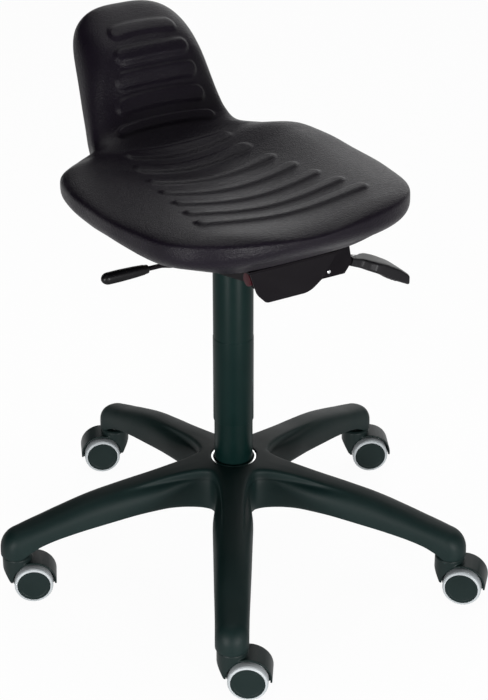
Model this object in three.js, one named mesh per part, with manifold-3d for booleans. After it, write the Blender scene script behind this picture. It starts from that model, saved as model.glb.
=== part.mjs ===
// A perch stool: a one-piece foam seat and back on a tilting bracket, a gas spring column
// with a height lever, and a five-armed base on twin-wheel castors.
// Millimetres, Z up, the front of the seat towards -Y, the sitter's left towards +X.

import * as THREE from 'three';
import { mergeVertices } from 'three/addons/utils/BufferGeometryUtils.js';
import Module from 'manifold-3d';

const wasm = await Module();
wasm.setup();

// Clearances and counts shared by the whole part
const fitGap = 0.3;          // between faces that seat on each other
const cutOverrun = 2;        // how far a cutting solid runs past the face that it cuts
const degrees = Math.PI / 180;
const fineSides = 28;
const roundSides = 18;
const smallSides = 12;
const hoodSides = 14;

// Castor
const wheelRadius = 25;
const wheelSides = 20;
const castorHalfWidth = 25.8;
const tyreThickness = 3.9;
const tyreInset = 0.6;       // tyre edge behind the wheel's outer face
const tyreRound = 3;
const hoodGap = 2;
const hoodWall = 2.5;
const hoodHalfDepth = 17.5;
const webHalfWidth = 5.5;
const wheelSideGap = 1.2;    // between the web and a wheel
const castorTrail = 20.3;
const castorNeckRadius = 18.4;
const neckRake = 28 * degrees;   // the neck's leading side leans back over the wheels
const axleRadius = 3;
const axleEndGap = 4;        // wheel face in front of the axle's end
const stemRadius = 5.5;
const stemInHood = 16;
const stemInLeg = 22;

// Base star
const legCount = 5;
const firstLegAngle = -120.37 * degrees;
const castorCircleRadius = 295;
const legEndRadius = 20.5;
const legEndLow = 61.2;
const legEndHigh = 94;
const legEndDome = 9;
const legHubHalfWidth = 26;
const armArch = 102;         // highest point of an arm's underside
const hubHigh = 155;
const hubLow = 84;
const hubRadius = 46;
const hubRimRadius = 34.5;
const hubShoulder = 12;
const hubRimFlare = 2;
const sleeveRadius = 30.1;
const sleeveRimDrop = 1.2;
const castorHeadings = [-33.57, -43.57, -26.37, 156.43, -25.17].map((angle) => angle * degrees);

// Gas spring column
const standpipeRadius = 25;
const standpipeWall = 1.5;
const standpipeLow = 80;
const standpipeHigh = 338;
const standpipeFloor = 4;
const guideBushLength = 82;
const guideBushFlange = 3;
const guideBushRim = 24.8;
const rodRadius = 5;
const rodTail = 7;           // rod below the standpipe's floor
const pistonHigh = 302;
const pistonLength = 10;
const bearingRadius = 11;
const bearingHeight = 6;
const clipRadius = 9;
const clipHeight = 1.5;
const cylinderRadius = 14;
const cylinderWall = 1.6;
const cylinderLow = 142;
const cylinderHigh = 441;
const cylinderCap = 8;
const cylinderHeadLength = 30;
const coneLength = 46;
const coneTaper = 0.6;
const pinRadius = 3;
const pinDepth = 8;
const pinRise = 6;
const coverLow = 212;
const coverStep = 332;
const coverRadius = 26.25;
const coverTopRadius = 25.85;
const coverBore = 25.35;
const coverLid = 2.7;

// Tilt housing under the seat
const housingHalfWidth = 45;
const sheet = 2.5;
const housingLift = 2;        // housing floor above the cylinder's top
const housingFloor = cylinderHigh + housingLift;
const housingRear = 45;
const housingKink = -28;
const housingFront = -134;
const housingFrontRise = 26;  // front end's lower edge above the floor
const housingFrontDepth = 16;
const housingRearDepth = 23;
const socketWall = 6;

// Seat bracket, its pivot and its board
const bracketHalfWidth = 62;
const bracketRear = 75;
const bracketRise = 50.7;     // top of the bracket above the housing's floor
const bracketHigh = housingFloor + bracketRise;
const bracketSheet = 3;
const bracketFlangeTop = -145;
const flangeLean = 13.3 * degrees;
const flangeTopHalf = 61;
const flangeMidHalf = 45;
const flangeLowHalf = 30.5;
const flangeMidDrop = 36.7;   // below the bracket's top
const flangeLowDrop = 51.7;
const pivotY = -125;
const pivotDrop = 18.7;
const pivotZ = bracketHigh - pivotDrop;
const pivotRadius = 4.5;
const cheekHalfLength = 13;
const cheekDrop = 11;
const capRadius = 8.5;
const capLength = 5;
const pivotHead = 3;
const wingY = -100;
const wingEnd = 110.5;
const wingDrop = 57.2;
const wingCorner = 10;
const wingCornerDrop = 43.7;
const wingTopEnd = 103;
const lockY = -93;
const lockDrop = 44.7;
const lockZ = bracketHigh - lockDrop;
const lockRadius = 4;
const lockOverhang = 10;     // lock shaft past the wing, inside the paddle
const rivetX = 77;
const rivetDrop = 49.2;
const rivetRadius = 2.6;
const rivetHead = 1.4;
const boardHalfWidth = 88;
const boardFront = -112;
const boardRear = 104;
const boardThickness = 10;
const boardCorner = 24;
const screwX = 54;
const screwFront = -82;
const screwRear = 60;
const screwRadius = 4;
const screwHeadRadius = 6.5;
const screwHead = 5;
const screwHeadChamfer = 1;
const screwInBoard = 7;

// Height lever
const leverRadius = 3;
const leverInner = 8;
const leverCrank = 3.5;       // the grip's axis above the rod's inner run
const leverCrankStart = -84;
const leverCrankEnd = -104;
const leverNeckEnd = -120;
const leverTip = -183;
const leverBite = 38;        // rod inside the grip
const gripRadius = 7.4;

// Tilt lock paddle
const paddleFirstRun = 40;
const paddleFirstDroop = 22 * degrees;
const paddleSecondRun = 47.5;
const paddleSecondDroop = 30 * degrees;
const paddleHalfWidth = 20;
const paddleNeckHalfWidth = 9;
const paddleNeckLength = 16;
const paddleShoulder = 30;   // from the neck's root to the full width
const paddleThickness = 12;
const paddleCorner = 5;

// Seat pad: a path through the middle of its rim, flat seat, bend and leaning back
const padFront = -197.9;
const padFrontRise = 50.6;   // front tip of the path above the bracket
const padFrontHigh = bracketHigh + padFrontRise;
const seatFall = 2.61 * degrees;
const backLean = 37.27 * degrees;
const bendRadius = 73.1;
const seatRun = 340.3;       // along the path, front tip to bend
const backRun = 161;         // bend to top
const padHalfWidth = 189.5;
const padFrontRound = 128;
const padFrontSquareness = 2.67;
const padTopRound = 103.2;
const padTopSquareness = 2.94;
const padEdgeRound = 40.2;
const padTopRoll = 72;
const padTopUnderRound = 26;
const ribHeight = 3.2;
const ribHalfWidth = 10;
const ribStep = 4;
const ribBow = 10;
const padFaceHeight = 40;
const padUnderDepth = 40;
const padDish = 25;
const padFaceSquareness = 5;
const padUnderSquareness = 2.8;
const padRearSquareness = 2;

const materials = {
  foam: { color: 0x17151a, roughness: 0.5, metalness: 0 },
  blackPlastic: { color: 0x16171a, roughness: 0.45, metalness: 0 },
  basePlastic: { color: 0x1f2a29, roughness: 0.5, metalness: 0 },
  tyre: { color: 0x9ba1a3, roughness: 0.7, metalness: 0 },
  wheelDisc: { color: 0x1c2726, roughness: 0.45, metalness: 0 },
  columnPaint: { color: 0x202b2a, roughness: 0.35, metalness: 0.3 },
  pressedSteel: { color: 0x19161a, roughness: 0.4, metalness: 0.4 },
  zinc: { color: 0xc9cbc9, roughness: 0.3, metalness: 0.9 },
  brightSteel: { color: 0xb4b6b8, roughness: 0.25, metalness: 1 },
  redPlastic: { color: 0x4a1a24, roughness: 0.4, metalness: 0 },
  plywood: { color: 0x9a7b55, roughness: 0.75, metalness: 0 },
};

const stool = new THREE.Group();

function addPiece(name, geometry, finish, parent = stool) {
  const mesh = new THREE.Mesh(geometry, new THREE.MeshStandardMaterial(materials[finish]));
  mesh.name = name;
  parent.add(mesh);
  return mesh;
}

// Closed meshes to solids and back
function toSolid(geometry) {
  const bare = geometry.clone();
  bare.deleteAttribute('normal');
  bare.deleteAttribute('uv');
  const merged = mergeVertices(bare);
  return new wasm.Manifold(new wasm.Mesh({
    numProp: 3,
    vertProperties: new Float32Array(merged.attributes.position.array),
    triVerts: new Uint32Array(merged.index.array),
  }));
}

function toGeometry(solid) {
  const mesh = solid.getMesh();
  const geometry = new THREE.BufferGeometry();
  geometry.setAttribute('position', new THREE.BufferAttribute(mesh.vertProperties, 3));
  geometry.setIndex(new THREE.BufferAttribute(mesh.triVerts, 1));
  return geometry;
}

// A turned shape about Z from [radius, height] points
function turned(profile, sides, start = 0) {
  const points = profile.map(([radius, height]) => new THREE.Vector2(radius, height));
  const geometry = new THREE.LatheGeometry(points, sides, start);
  geometry.rotateX(Math.PI / 2);
  return geometry;
}

function solidRod(radius, low, high, sides) {
  return turned([[0, low], [radius, low], [radius, high], [0, high]], sides);
}

function solidRing(inner, outer, low, high, sides) {
  return turned([[inner, low], [outer, low], [outer, high], [inner, high], [inner, low]], sides);
}

function outline(points) {
  return new THREE.Shape(points.map(([across, up]) => new THREE.Vector2(across, up)));
}

// A flat outline in XY given a thickness along Z
function slab(shape, thickness, curveSegments = smallSides) {
  return new THREE.ExtrudeGeometry(shape, { depth: thickness, bevelEnabled: false, curveSegments });
}

// The same, standing: the outline lies in YZ and the thickness runs along +X
function slabAlongX(points, start, thickness) {
  const geometry = slab(outline(points), thickness);
  geometry.rotateX(Math.PI / 2);
  geometry.rotateZ(Math.PI / 2);
  geometry.translate(start, 0, 0);
  return geometry;
}

function boxBetween([x0, y0, z0], [x1, y1, z1]) {
  const geometry = new THREE.BoxGeometry(x1 - x0, y1 - y0, z1 - z0);
  geometry.translate((x0 + x1) / 2, (y0 + y1) / 2, (z0 + z1) / 2);
  return geometry;
}

function rodAlongX(radius, start, end, sides) {
  const geometry = solidRod(radius, start, end, sides);
  geometry.rotateY(Math.PI / 2);
  return geometry;
}

function arcPoints(centre, radius, from, to, steps) {
  return Array.from({ length: steps + 1 }, (_, step) => {
    const angle = from + (to - from) * step / steps;
    return [centre[0] + radius * Math.cos(angle), centre[1] + radius * Math.sin(angle)];
  });
}

// A closed skin over rings of equal length, each a list of Vector3
function loft(rings) {
  const count = rings[0].length;
  const corners = rings.flat();
  const faces = [];
  for (let row = 0; row < rings.length - 1; row += 1) {
    for (let step = 0; step < count; step += 1) {
      const next = (step + 1) % count;
      const here = row * count;
      const above = here + count;
      faces.push(here + step, here + next, above + next);
      faces.push(here + step, above + next, above + step);
    }
  }
  for (const [row, turn] of [[0, -1], [rings.length - 1, 1]]) {
    const middle = new THREE.Vector3();
    rings[row].forEach((corner) => middle.add(corner));
    corners.push(middle.divideScalar(count));
    const tip = corners.length - 1;
    for (let step = 0; step < count; step += 1) {
      const next = (step + 1) % count;
      const edge = [row * count + step, row * count + next];
      faces.push(tip, turn > 0 ? edge[0] : edge[1], turn > 0 ? edge[1] : edge[0]);
    }
  }
  const geometry = new THREE.BufferGeometry();
  const places = corners.flatMap((corner) => corner.toArray());
  geometry.setAttribute('position', new THREE.Float32BufferAttribute(places, 3));
  geometry.setIndex(faces);
  return geometry;
}

// Value of a table of [place share, value] rows, eased between the rows
function tableValue(table, share) {
  const place = THREE.MathUtils.clamp(share, table[0][0], table[table.length - 1][0]);
  let row = 0;
  while (row < table.length - 2 && place > table[row + 1][0]) {
    row += 1;
  }
  const [low, lowValue] = table[row];
  const [high, highValue] = table[row + 1];
  const slopeAt = (index) => {
    if (index === 0 || index === table.length - 1) {
      return 0;
    }
    const before = table[index - 1];
    const after = table[index + 1];
    return (after[1] - before[1]) / (after[0] - before[0]);
  };
  const span = high - low;
  const part = (place - low) / span;
  const cubed = part ** 3;
  const squared = part ** 2;
  return (2 * cubed - 3 * squared + 1) * lowValue
    + (cubed - 2 * squared + part) * span * slopeAt(row)
    + (3 * squared - 2 * cubed) * highValue
    + (cubed - squared) * span * slopeAt(row + 1);
}

// Base star: five arms lofted from the hub to a round end that takes the castor stem
const armTopShares = [
  [0, 1], [0.12, 1], [0.27, 0.92], [0.41, 0.8], [0.54, 0.67], [0.68, 0.51], [0.81, 0.31], [0.9, 0.16],
  [1, 0.03],
];
const armLowShares = [
  [0, 0.63], [0.15, 0.66], [0.2, 0.79], [0.27, 0.92], [0.36, 1], [0.48, 0.95], [0.68, 0.74], [0.81, 0.55],
  [0.9, 0.38], [0.95, 0.2], [1, 0],
];
const armRowShares = [0, 0.16, 0.22, 0.29, 0.38, 0.5, 0.66, 0.82, 0.92, 1];
const armWidthShares = [[0, 1], [0.35, 0.9], [0.7, 0.4], [1, 0]];
const armSectionShares = [
  [0, 1], [0.42, 1], [0.55, 0.93], [0.6, 0.8], [0.82, 0.74], [0.97, 0.56],
  [1, 0.38], [0.93, 0.15], [0.74, 0], [0, 0],
];

const legEndDomeShares = [[1, 1], [0.9, 0.5], [0.6, 0.15], [0, 0]];

function armGeometry() {
  const rings = armRowShares.map((share) => {
    const high = legEndHigh - legEndDome / 3 + (hubHigh - legEndHigh) * tableValue(armTopShares, share);
    const low = legEndLow + (armArch - legEndLow) * tableValue(armLowShares, share);
    const half = legEndRadius - fitGap + (legHubHalfWidth - legEndRadius) * tableValue(armWidthShares, share);
    const right = armSectionShares.map(([across, up]) => [across * half, low + up * (high - low)]);
    const left = right.slice(1, -1).reverse().map(([across, up]) => [-across, up]);
    const reach = castorCircleRadius * share;
    return [...right, ...left].reverse().map(([across, up]) => new THREE.Vector3(reach, across, up));
  });
  return loft(rings);
}

function makeBase() {
  const arm = toSolid(armGeometry());
  const dome = legEndDomeShares.map(([out, down]) => [legEndRadius * out, legEndHigh - legEndDome * down]);
  const end = toSolid(turned([[0, legEndLow], [legEndRadius, legEndLow], ...dome], roundSides))
    .translate([castorCircleRadius, 0, 0]);
  const stemBore = toSolid(solidRod(
    stemRadius + fitGap, legEndLow - cutOverrun, legEndLow + stemInLeg + fitGap, smallSides,
  )).translate([castorCircleRadius, 0, 0]);
  let star = toSolid(turned([
    [0, hubLow], [hubRadius - hubShoulder / 2, hubLow], [hubRadius, hubLow + hubShoulder / 2],
    [hubRadius, hubHigh - 2 * hubShoulder], [hubRimRadius + hubRimFlare, hubHigh - hubShoulder / 3],
    [hubRimRadius, hubHigh], [0, hubHigh],
  ], fineSides));
  for (let leg = 0; leg < legCount; leg += 1) {
    const turn = (firstLegAngle + leg * 2 * Math.PI / legCount) / degrees;
    star = star.add(arm.add(end).rotate([0, 0, turn]));
  }
  for (let leg = 0; leg < legCount; leg += 1) {
    const turn = (firstLegAngle + leg * 2 * Math.PI / legCount) / degrees;
    star = star.subtract(stemBore.rotate([0, 0, turn]));
  }
  const hubBore = toSolid(solidRod(
    sleeveRadius + fitGap, hubLow - cutOverrun, hubHigh + cutOverrun, fineSides,
  ));
  addPiece('base_star', toGeometry(star.subtract(hubBore)), 'basePlastic');
  const sleeveHigh = hubHigh - sleeveRimDrop;
  addPiece('hub_sleeve', solidRing(
    standpipeRadius + fitGap, sleeveRadius, hubLow, sleeveHigh, fineSides,
  ), 'zinc');
}

// Castor: swivels about its stem, with a twin-wheel hood, an axle and two tyred wheels
function hoodGeometry() {
  const clearRadius = wheelRadius + hoodGap;
  const outer = clearRadius + hoodWall;
  const neckHigh = legEndLow - fitGap;
  const upper = arcPoints([0, 0], outer, 0, Math.PI, hoodSides);
  const lower = arcPoints([0, 0], clearRadius, Math.PI, 0, hoodSides);
  const shell = slab(outline([...upper, ...lower]), 2 * hoodHalfDepth);
  shell.rotateX(Math.PI / 2);
  shell.translate(castorTrail, hoodHalfDepth, wheelRadius);
  const web = solidRod(clearRadius + hoodWall / 2, -webHalfWidth, webHalfWidth, roundSides);
  web.rotateX(Math.PI / 2);
  web.translate(castorTrail, 0, wheelRadius);
  const webCut = boxBetween(
    [-castorNeckRadius - cutOverrun, -webHalfWidth - cutOverrun, -outer],
    [castorTrail + outer + cutOverrun, webHalfWidth + cutOverrun, wheelRadius - 3 * axleRadius],
  );
  const neck = solidRod(castorNeckRadius, wheelRadius, neckHigh, roundSides);
  const spaceHalf = castorHalfWidth + cutOverrun;
  const wheelSpace = solidRod(clearRadius, -spaceHalf, spaceHalf, hoodSides);
  wheelSpace.rotateX(Math.PI / 2);
  wheelSpace.translate(castorTrail, 0, wheelRadius);
  const middle = toSolid(boxBetween(
    [-castorNeckRadius - cutOverrun, -webHalfWidth, wheelRadius - cutOverrun],
    [castorTrail + outer, webHalfWidth, neckHigh],
  ));
  const leadingTip = new THREE.BoxGeometry(2 * castorNeckRadius, 3 * castorNeckRadius, 2 * castorNeckRadius);
  leadingTip.rotateY(-neckRake);
  leadingTip.translate(-1.5 * castorNeckRadius, 0, wheelRadius - castorNeckRadius / 3);
  let hood = toSolid(neck).subtract(toSolid(wheelSpace).subtract(middle));
  hood = hood.subtract(toSolid(leadingTip)).add(toSolid(shell)).add(toSolid(web).subtract(toSolid(webCut)));
  const stemBore = solidRod(
    stemRadius + fitGap, neckHigh - stemInHood - fitGap, neckHigh + cutOverrun, smallSides,
  );
  const axleBore = solidRod(axleRadius + fitGap, -castorHalfWidth, castorHalfWidth, smallSides);
  axleBore.rotateX(Math.PI / 2);
  axleBore.translate(castorTrail, 0, wheelRadius);
  return toGeometry(hood.subtract(toSolid(stemBore)).subtract(toSolid(axleBore)));
}

// Wheels are turned about their own axle, outer face towards +Z, and then laid on their side
function wheelGeometry() {
  const rim = wheelRadius - tyreThickness;
  const inner = webHalfWidth + wheelSideGap;
  const axleEnd = castorHalfWidth - axleEndGap;
  const bore = axleRadius + fitGap;
  return turned([
    [bore, inner], [rim, inner], [rim, castorHalfWidth - tyreInset], [rim - tyreInset, castorHalfWidth],
    [0, castorHalfWidth], [0, axleEnd + fitGap], [bore, axleEnd + fitGap], [bore, inner],
  ], hoodSides);
}

function tyreGeometry() {
  const flatRadius = wheelRadius / Math.cos(Math.PI / wheelSides);
  const inner = wheelRadius - tyreThickness + fitGap;
  const low = webHalfWidth + wheelSideGap + tyreInset;
  const high = castorHalfWidth - tyreInset;
  const shoulder = tyreRound * (1 - Math.SQRT1_2);
  return turned([
    [inner, low], [flatRadius - shoulder, low], [flatRadius, low + shoulder], [flatRadius, high - tyreRound],
    [flatRadius - shoulder, high - shoulder], [flatRadius - tyreRound, high], [inner, high], [inner, low],
  ], wheelSides, Math.PI / wheelSides);
}

function makeCastors() {
  const hood = hoodGeometry();
  const neckHigh = legEndLow - fitGap;
  const stem = solidRod(stemRadius, neckHigh - stemInHood, legEndLow + stemInLeg, smallSides);
  const axleHalf = castorHalfWidth - axleEndGap;
  const axle = solidRod(axleRadius, -axleHalf, axleHalf, smallSides);
  axle.rotateX(Math.PI / 2);
  axle.translate(castorTrail, 0, wheelRadius);
  const sides = { left: Math.PI / 2, right: -Math.PI / 2 };
  for (let leg = 0; leg < legCount; leg += 1) {
    const legAngle = firstLegAngle + leg * 2 * Math.PI / legCount;
    const castor = new THREE.Group();
    castor.position.set(castorCircleRadius * Math.cos(legAngle), castorCircleRadius * Math.sin(legAngle), 0);
    castor.rotation.z = castorHeadings[leg];
    stool.add(castor);
    const label = `castor_${leg + 1}`;
    addPiece(`${label}_hood`, hood, 'basePlastic', castor);
    addPiece(`${label}_stem`, stem, 'brightSteel', castor);
    addPiece(`${label}_axle`, axle, 'brightSteel', castor);
    for (const [side, roll] of Object.entries(sides)) {
      const disc = wheelGeometry();
      const tyre = tyreGeometry();
      for (const geometry of [disc, tyre]) {
        geometry.rotateX(-roll);
        geometry.translate(castorTrail, 0, wheelRadius);
      }
      addPiece(`${label}_wheel_${side}`, disc, 'wheelDisc', castor);
      addPiece(`${label}_tyre_${side}`, tyre, 'tyre', castor);
    }
  }
}

// Column: a standpipe in the hub, and a gas spring hung upside down in it
const coneLow = cylinderHigh - coneLength;

function makeColumn() {
  const pipeBore = standpipeRadius - standpipeWall;
  addPiece('standpipe', turned([
    [rodRadius + fitGap, standpipeLow], [standpipeRadius, standpipeLow], [standpipeRadius, standpipeHigh],
    [pipeBore, standpipeHigh], [pipeBore, standpipeLow + standpipeFloor],
    [rodRadius + fitGap, standpipeLow + standpipeFloor], [rodRadius + fitGap, standpipeLow],
  ], fineSides), 'columnPaint');
  const bushBore = cylinderRadius + fitGap;
  const bushHigh = standpipeHigh + fitGap;
  addPiece('guide_bush', turned([
    [bushBore, standpipeHigh - guideBushLength], [pipeBore - fitGap, standpipeHigh - guideBushLength],
    [pipeBore - fitGap, bushHigh], [guideBushRim, bushHigh], [guideBushRim, bushHigh + guideBushFlange],
    [bushBore, bushHigh + guideBushFlange], [bushBore, standpipeHigh - guideBushLength],
  ], fineSides), 'blackPlastic');

  const pistonRadius = cylinderRadius - cylinderWall - fitGap;
  addPiece('piston_rod', turned([
    [0, standpipeLow - rodTail], [rodRadius, standpipeLow - rodTail], [rodRadius, pistonHigh - pistonLength],
    [pistonRadius, pistonHigh - pistonLength], [pistonRadius, pistonHigh], [0, pistonHigh],
  ], roundSides), 'brightSteel');
  const bearingLow = standpipeLow + standpipeFloor + fitGap;
  addPiece('thrust_bearing', solidRing(
    rodRadius + fitGap, bearingRadius, bearingLow, bearingLow + bearingHeight, roundSides,
  ), 'brightSteel');
  const clipHigh = standpipeLow - fitGap;
  addPiece('rod_clip', solidRing(
    rodRadius + fitGap, clipRadius, clipHigh - clipHeight, clipHigh, roundSides,
  ), 'zinc');

  const bore = cylinderRadius - cylinderWall;
  const headLow = cylinderHigh - cylinderHeadLength;
  addPiece('gas_cylinder', turned([
    [rodRadius + fitGap, cylinderLow], [cylinderRadius, cylinderLow], [cylinderRadius, coneLow],
    [cylinderRadius - coneTaper, cylinderHigh], [pinRadius + fitGap, cylinderHigh],
    [pinRadius + fitGap, cylinderHigh - pinDepth - fitGap], [0, cylinderHigh - pinDepth - fitGap],
    [0, headLow], [bore, headLow], [bore, cylinderLow + cylinderCap],
    [rodRadius + fitGap, cylinderLow + cylinderCap], [rodRadius + fitGap, cylinderLow],
  ], roundSides), 'columnPaint');
  addPiece('release_pin', solidRod(
    pinRadius, cylinderHigh - pinDepth / 2, cylinderHigh + pinRise, smallSides,
  ), 'brightSteel');

  const lidHigh = housingFloor - fitGap;
  const lidBore = cylinderRadius + fitGap + socketWall + fitGap;
  addPiece('cover_tube', turned([
    [coverBore, coverLow], [coverRadius, coverLow], [coverRadius, coverStep],
    [coverTopRadius, coverStep + coverRadius - coverTopRadius], [coverTopRadius, lidHigh],
    [lidBore, lidHigh], [lidBore, lidHigh - coverLid], [coverBore, lidHigh - coverLid], [coverBore, coverLow],
  ], fineSides), 'columnPaint');
}

// Housing: a pressed steel tub with a conical socket that sits on the gas cylinder
const leverZ = cylinderHigh + pinRise + fitGap + leverRadius;

function housingSide(inset) {
  const frontLow = housingFloor + housingFrontRise;
  return [
    [housingRear - inset, housingFloor + inset], [housingRear - inset, housingFloor + housingRearDepth],
    [housingFront, frontLow + housingFrontDepth], [housingFront, frontLow + inset],
    [housingKink, housingFloor + inset],
  ];
}

function makeHousing() {
  const tub = toSolid(slabAlongX(housingSide(0), -housingHalfWidth, 2 * housingHalfWidth));
  const hollowSide = housingSide(sheet).map(([y, z], index) => {
    const raised = index === 1 || index === 2 ? z + cutOverrun : z;
    return [index === 2 || index === 3 ? y - cutOverrun : y, raised];
  });
  const hollowHalf = housingHalfWidth - sheet;
  const hollow = toSolid(slabAlongX(hollowSide, -hollowHalf, 2 * hollowHalf));
  const socketRadius = cylinderRadius + fitGap + socketWall;
  const socketHigh = housingFloor + sheet;
  const socket = toSolid(solidRod(socketRadius, coneLow, socketHigh, roundSides));
  const boreLow = cylinderRadius + fitGap;
  const coneBore = toSolid(turned([
    [0, coneLow - cutOverrun], [boreLow, coneLow - cutOverrun], [boreLow, coneLow],
    [boreLow - coneTaper, cylinderHigh], [boreLow - coneTaper, socketHigh + cutOverrun],
    [0, socketHigh + cutOverrun],
  ], roundSides));
  const pivotHole = rodAlongX(pivotRadius + fitGap, -bracketHalfWidth, bracketHalfWidth, smallSides);
  pivotHole.translate(0, pivotY, pivotZ);
  const leverHole = rodAlongX(leverRadius + fitGap, -bracketHalfWidth, 0, smallSides);
  leverHole.translate(0, 0, leverZ);
  const housing = tub.subtract(hollow).add(socket).subtract(coneBore)
    .subtract(toSolid(pivotHole)).subtract(toSolid(leverHole));
  addPiece('tilt_housing', toGeometry(housing), 'pressedSteel');

  const cheekOuter = housingHalfWidth + 2 * fitGap + sheet;
  const headStart = cheekOuter + fitGap;
  const headEnd = headStart + pivotHead;
  const shaft = rodAlongX(pivotRadius, -cheekOuter - capLength / 2, headEnd, smallSides);
  const head = rodAlongX(capRadius - sheet / 2, headStart, headEnd, roundSides);
  const pivot = toSolid(shaft).add(toSolid(head)).translate([0, pivotY, pivotZ]);
  addPiece('tilt_pivot_shaft', toGeometry(pivot), 'brightSteel');
  const cap = toSolid(rodAlongX(capRadius, -headStart - capLength, -headStart, roundSides));
  const capBore = toSolid(rodAlongX(
    pivotRadius + fitGap, -cheekOuter - capLength / 2 - fitGap, -cheekOuter + cutOverrun, smallSides,
  ));
  addPiece('pivot_cap', toGeometry(cap.subtract(capBore).translate([0, pivotY, pivotZ])), 'redPlastic');
}

// Seat bracket: a plate with a leaning front flange, two cheeks on the pivot and a wing for the lock
const rivetHeadShares = [[1, 0], [0.7, 0.75], [0, 1]];

function boardOutline(grow) {
  const half = boardHalfWidth + grow;
  const front = boardFront - grow;
  const rear = boardRear + grow;
  const shape = new THREE.Shape();
  shape.moveTo(-half + boardCorner, front);
  shape.absarc(half - boardCorner, front + boardCorner, boardCorner, -Math.PI / 2, 0);
  shape.absarc(half - boardCorner, rear - boardCorner, boardCorner, 0, Math.PI / 2);
  shape.absarc(-half + boardCorner, rear - boardCorner, boardCorner, Math.PI / 2, Math.PI);
  shape.absarc(-half + boardCorner, front + boardCorner, boardCorner, Math.PI, 1.5 * Math.PI);
  return shape;
}

function makeBracket() {
  const plateLow = bracketHigh - bracketSheet;
  const plate = toSolid(boxBetween(
    [-bracketHalfWidth, bracketFlangeTop, plateLow], [bracketHalfWidth, bracketRear, bracketHigh],
  ));
  const midReach = flangeMidDrop / Math.cos(flangeLean);
  const lowReach = flangeLowDrop / Math.cos(flangeLean);
  const flangeShape = outline([
    [-flangeTopHalf, 0], [-flangeMidHalf, -midReach], [-flangeLowHalf, -lowReach],
    [flangeLowHalf, -lowReach], [flangeMidHalf, -midReach], [flangeTopHalf, 0],
  ]);
  const flangeGeometry = slab(flangeShape, sheet);
  flangeGeometry.rotateX(Math.PI / 2 + flangeLean);
  flangeGeometry.translate(0, bracketFlangeTop + sheet, bracketHigh);
  const cheekInner = housingHalfWidth + fitGap;
  const cheekLow = pivotZ - cheekDrop;
  const cheekSide = [
    [pivotY + cheekHalfLength, plateLow + sheet / 2], [pivotY - cheekHalfLength, plateLow + sheet / 2],
    [pivotY - cheekHalfLength / 2, cheekLow], [pivotY + cheekHalfLength / 2, cheekLow],
  ];
  const cheekHole = rodAlongX(pivotRadius + fitGap, -bracketHalfWidth, bracketHalfWidth, smallSides);
  cheekHole.translate(0, pivotY, pivotZ);
  const wingInner = cheekInner;
  const wingLow = bracketHigh - wingDrop;
  const rivetZ = bracketHigh - rivetDrop;
  const wingShape = outline([
    [wingInner, wingLow + wingCorner], [wingInner + wingCorner, wingLow], [wingEnd - wingCorner, wingLow],
    [wingEnd, bracketHigh - wingCornerDrop], [wingTopEnd, bracketHigh - sheet],
    [wingInner, bracketHigh - sheet],
  ]);
  const wing = slab(wingShape, sheet);
  wing.rotateX(Math.PI / 2);
  wing.translate(0, wingY + sheet / 2, 0);
  const wingTie = boxBetween(
    [wingInner, wingY - sheet / 2, plateLow], [wingTopEnd, lockY + 2 * lockRadius, bracketHigh],
  );
  const lugSide = [
    [wingY, lockZ - 2 * lockRadius], [lockY + 2 * lockRadius, lockZ - 2 * lockRadius],
    [lockY + 2 * lockRadius, lockZ + 2 * lockRadius], [wingY, lockZ + 2 * lockRadius],
  ];
  const outerLug = slabAlongX(lugSide, wingEnd - wingCorner, sheet);
  const innerLug = slabAlongX(lugSide, wingInner, sheet);
  const lockHole = rodAlongX(lockRadius + fitGap, wingInner - cutOverrun, wingEnd + cutOverrun, smallSides);
  lockHole.translate(0, lockY, lockZ);
  const rivetHole = solidRod(rivetRadius / 2 + fitGap, -2 * sheet, 2 * sheet, smallSides);
  rivetHole.rotateX(Math.PI / 2);
  rivetHole.translate(rivetX, wingY, rivetZ);
  let bracket = plate.add(toSolid(flangeGeometry)).add(toSolid(wing)).add(toSolid(wingTie));
  bracket = bracket.add(toSolid(outerLug)).add(toSolid(innerLug));
  for (const start of [-cheekInner - sheet, cheekInner]) {
    bracket = bracket.add(toSolid(slabAlongX(cheekSide, start, sheet)));
  }
  bracket = bracket.subtract(toSolid(cheekHole)).subtract(toSolid(lockHole)).subtract(toSolid(rivetHole));
  const places = [[-screwX, screwFront], [screwX, screwFront], [-screwX, screwRear], [screwX, screwRear]];
  const boardLow = bracketHigh + fitGap;
  let board = toSolid(slab(boardOutline(0), boardThickness, smallSides / 2)).translate([0, 0, boardLow]);
  const screwHole = toSolid(solidRod(
    screwRadius + fitGap, plateLow - cutOverrun, boardLow + screwInBoard + fitGap, smallSides,
  ));
  places.forEach(([x, y], index) => {
    const hole = screwHole.translate([x, y, 0]);
    bracket = bracket.subtract(hole);
    board = board.subtract(hole);
    const headHigh = plateLow - fitGap;
    const headEnd = headHigh - screwHead;
    const screw = turned([
      [0, headEnd], [screwHeadRadius - screwHeadChamfer, headEnd],
      [screwHeadRadius, headEnd + screwHeadChamfer], [screwHeadRadius, headHigh], [screwRadius, headHigh],
      [screwRadius, boardLow + screwInBoard], [0, boardLow + screwInBoard],
    ], smallSides);
    addPiece(`seat_screw_${index + 1}`, screw, 'zinc').position.set(x, y, 0);
  });
  addPiece('seat_bracket', toGeometry(bracket), 'pressedSteel');
  addPiece('seat_board', toGeometry(board), 'plywood');

  const headLow = sheet / 2 + fitGap;
  const head = rivetHeadShares.map(([out, up]) => [rivetRadius * out, headLow + rivetHead * up]);
  const shank = rivetRadius / 2;
  const rivet = turned([[0, -sheet], [shank, -sheet], [shank, headLow], ...head], smallSides);
  rivet.rotateX(Math.PI / 2);
  rivet.translate(rivetX, wingY, rivetZ);
  addPiece('wing_rivet', rivet, 'brightSteel');
}

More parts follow.
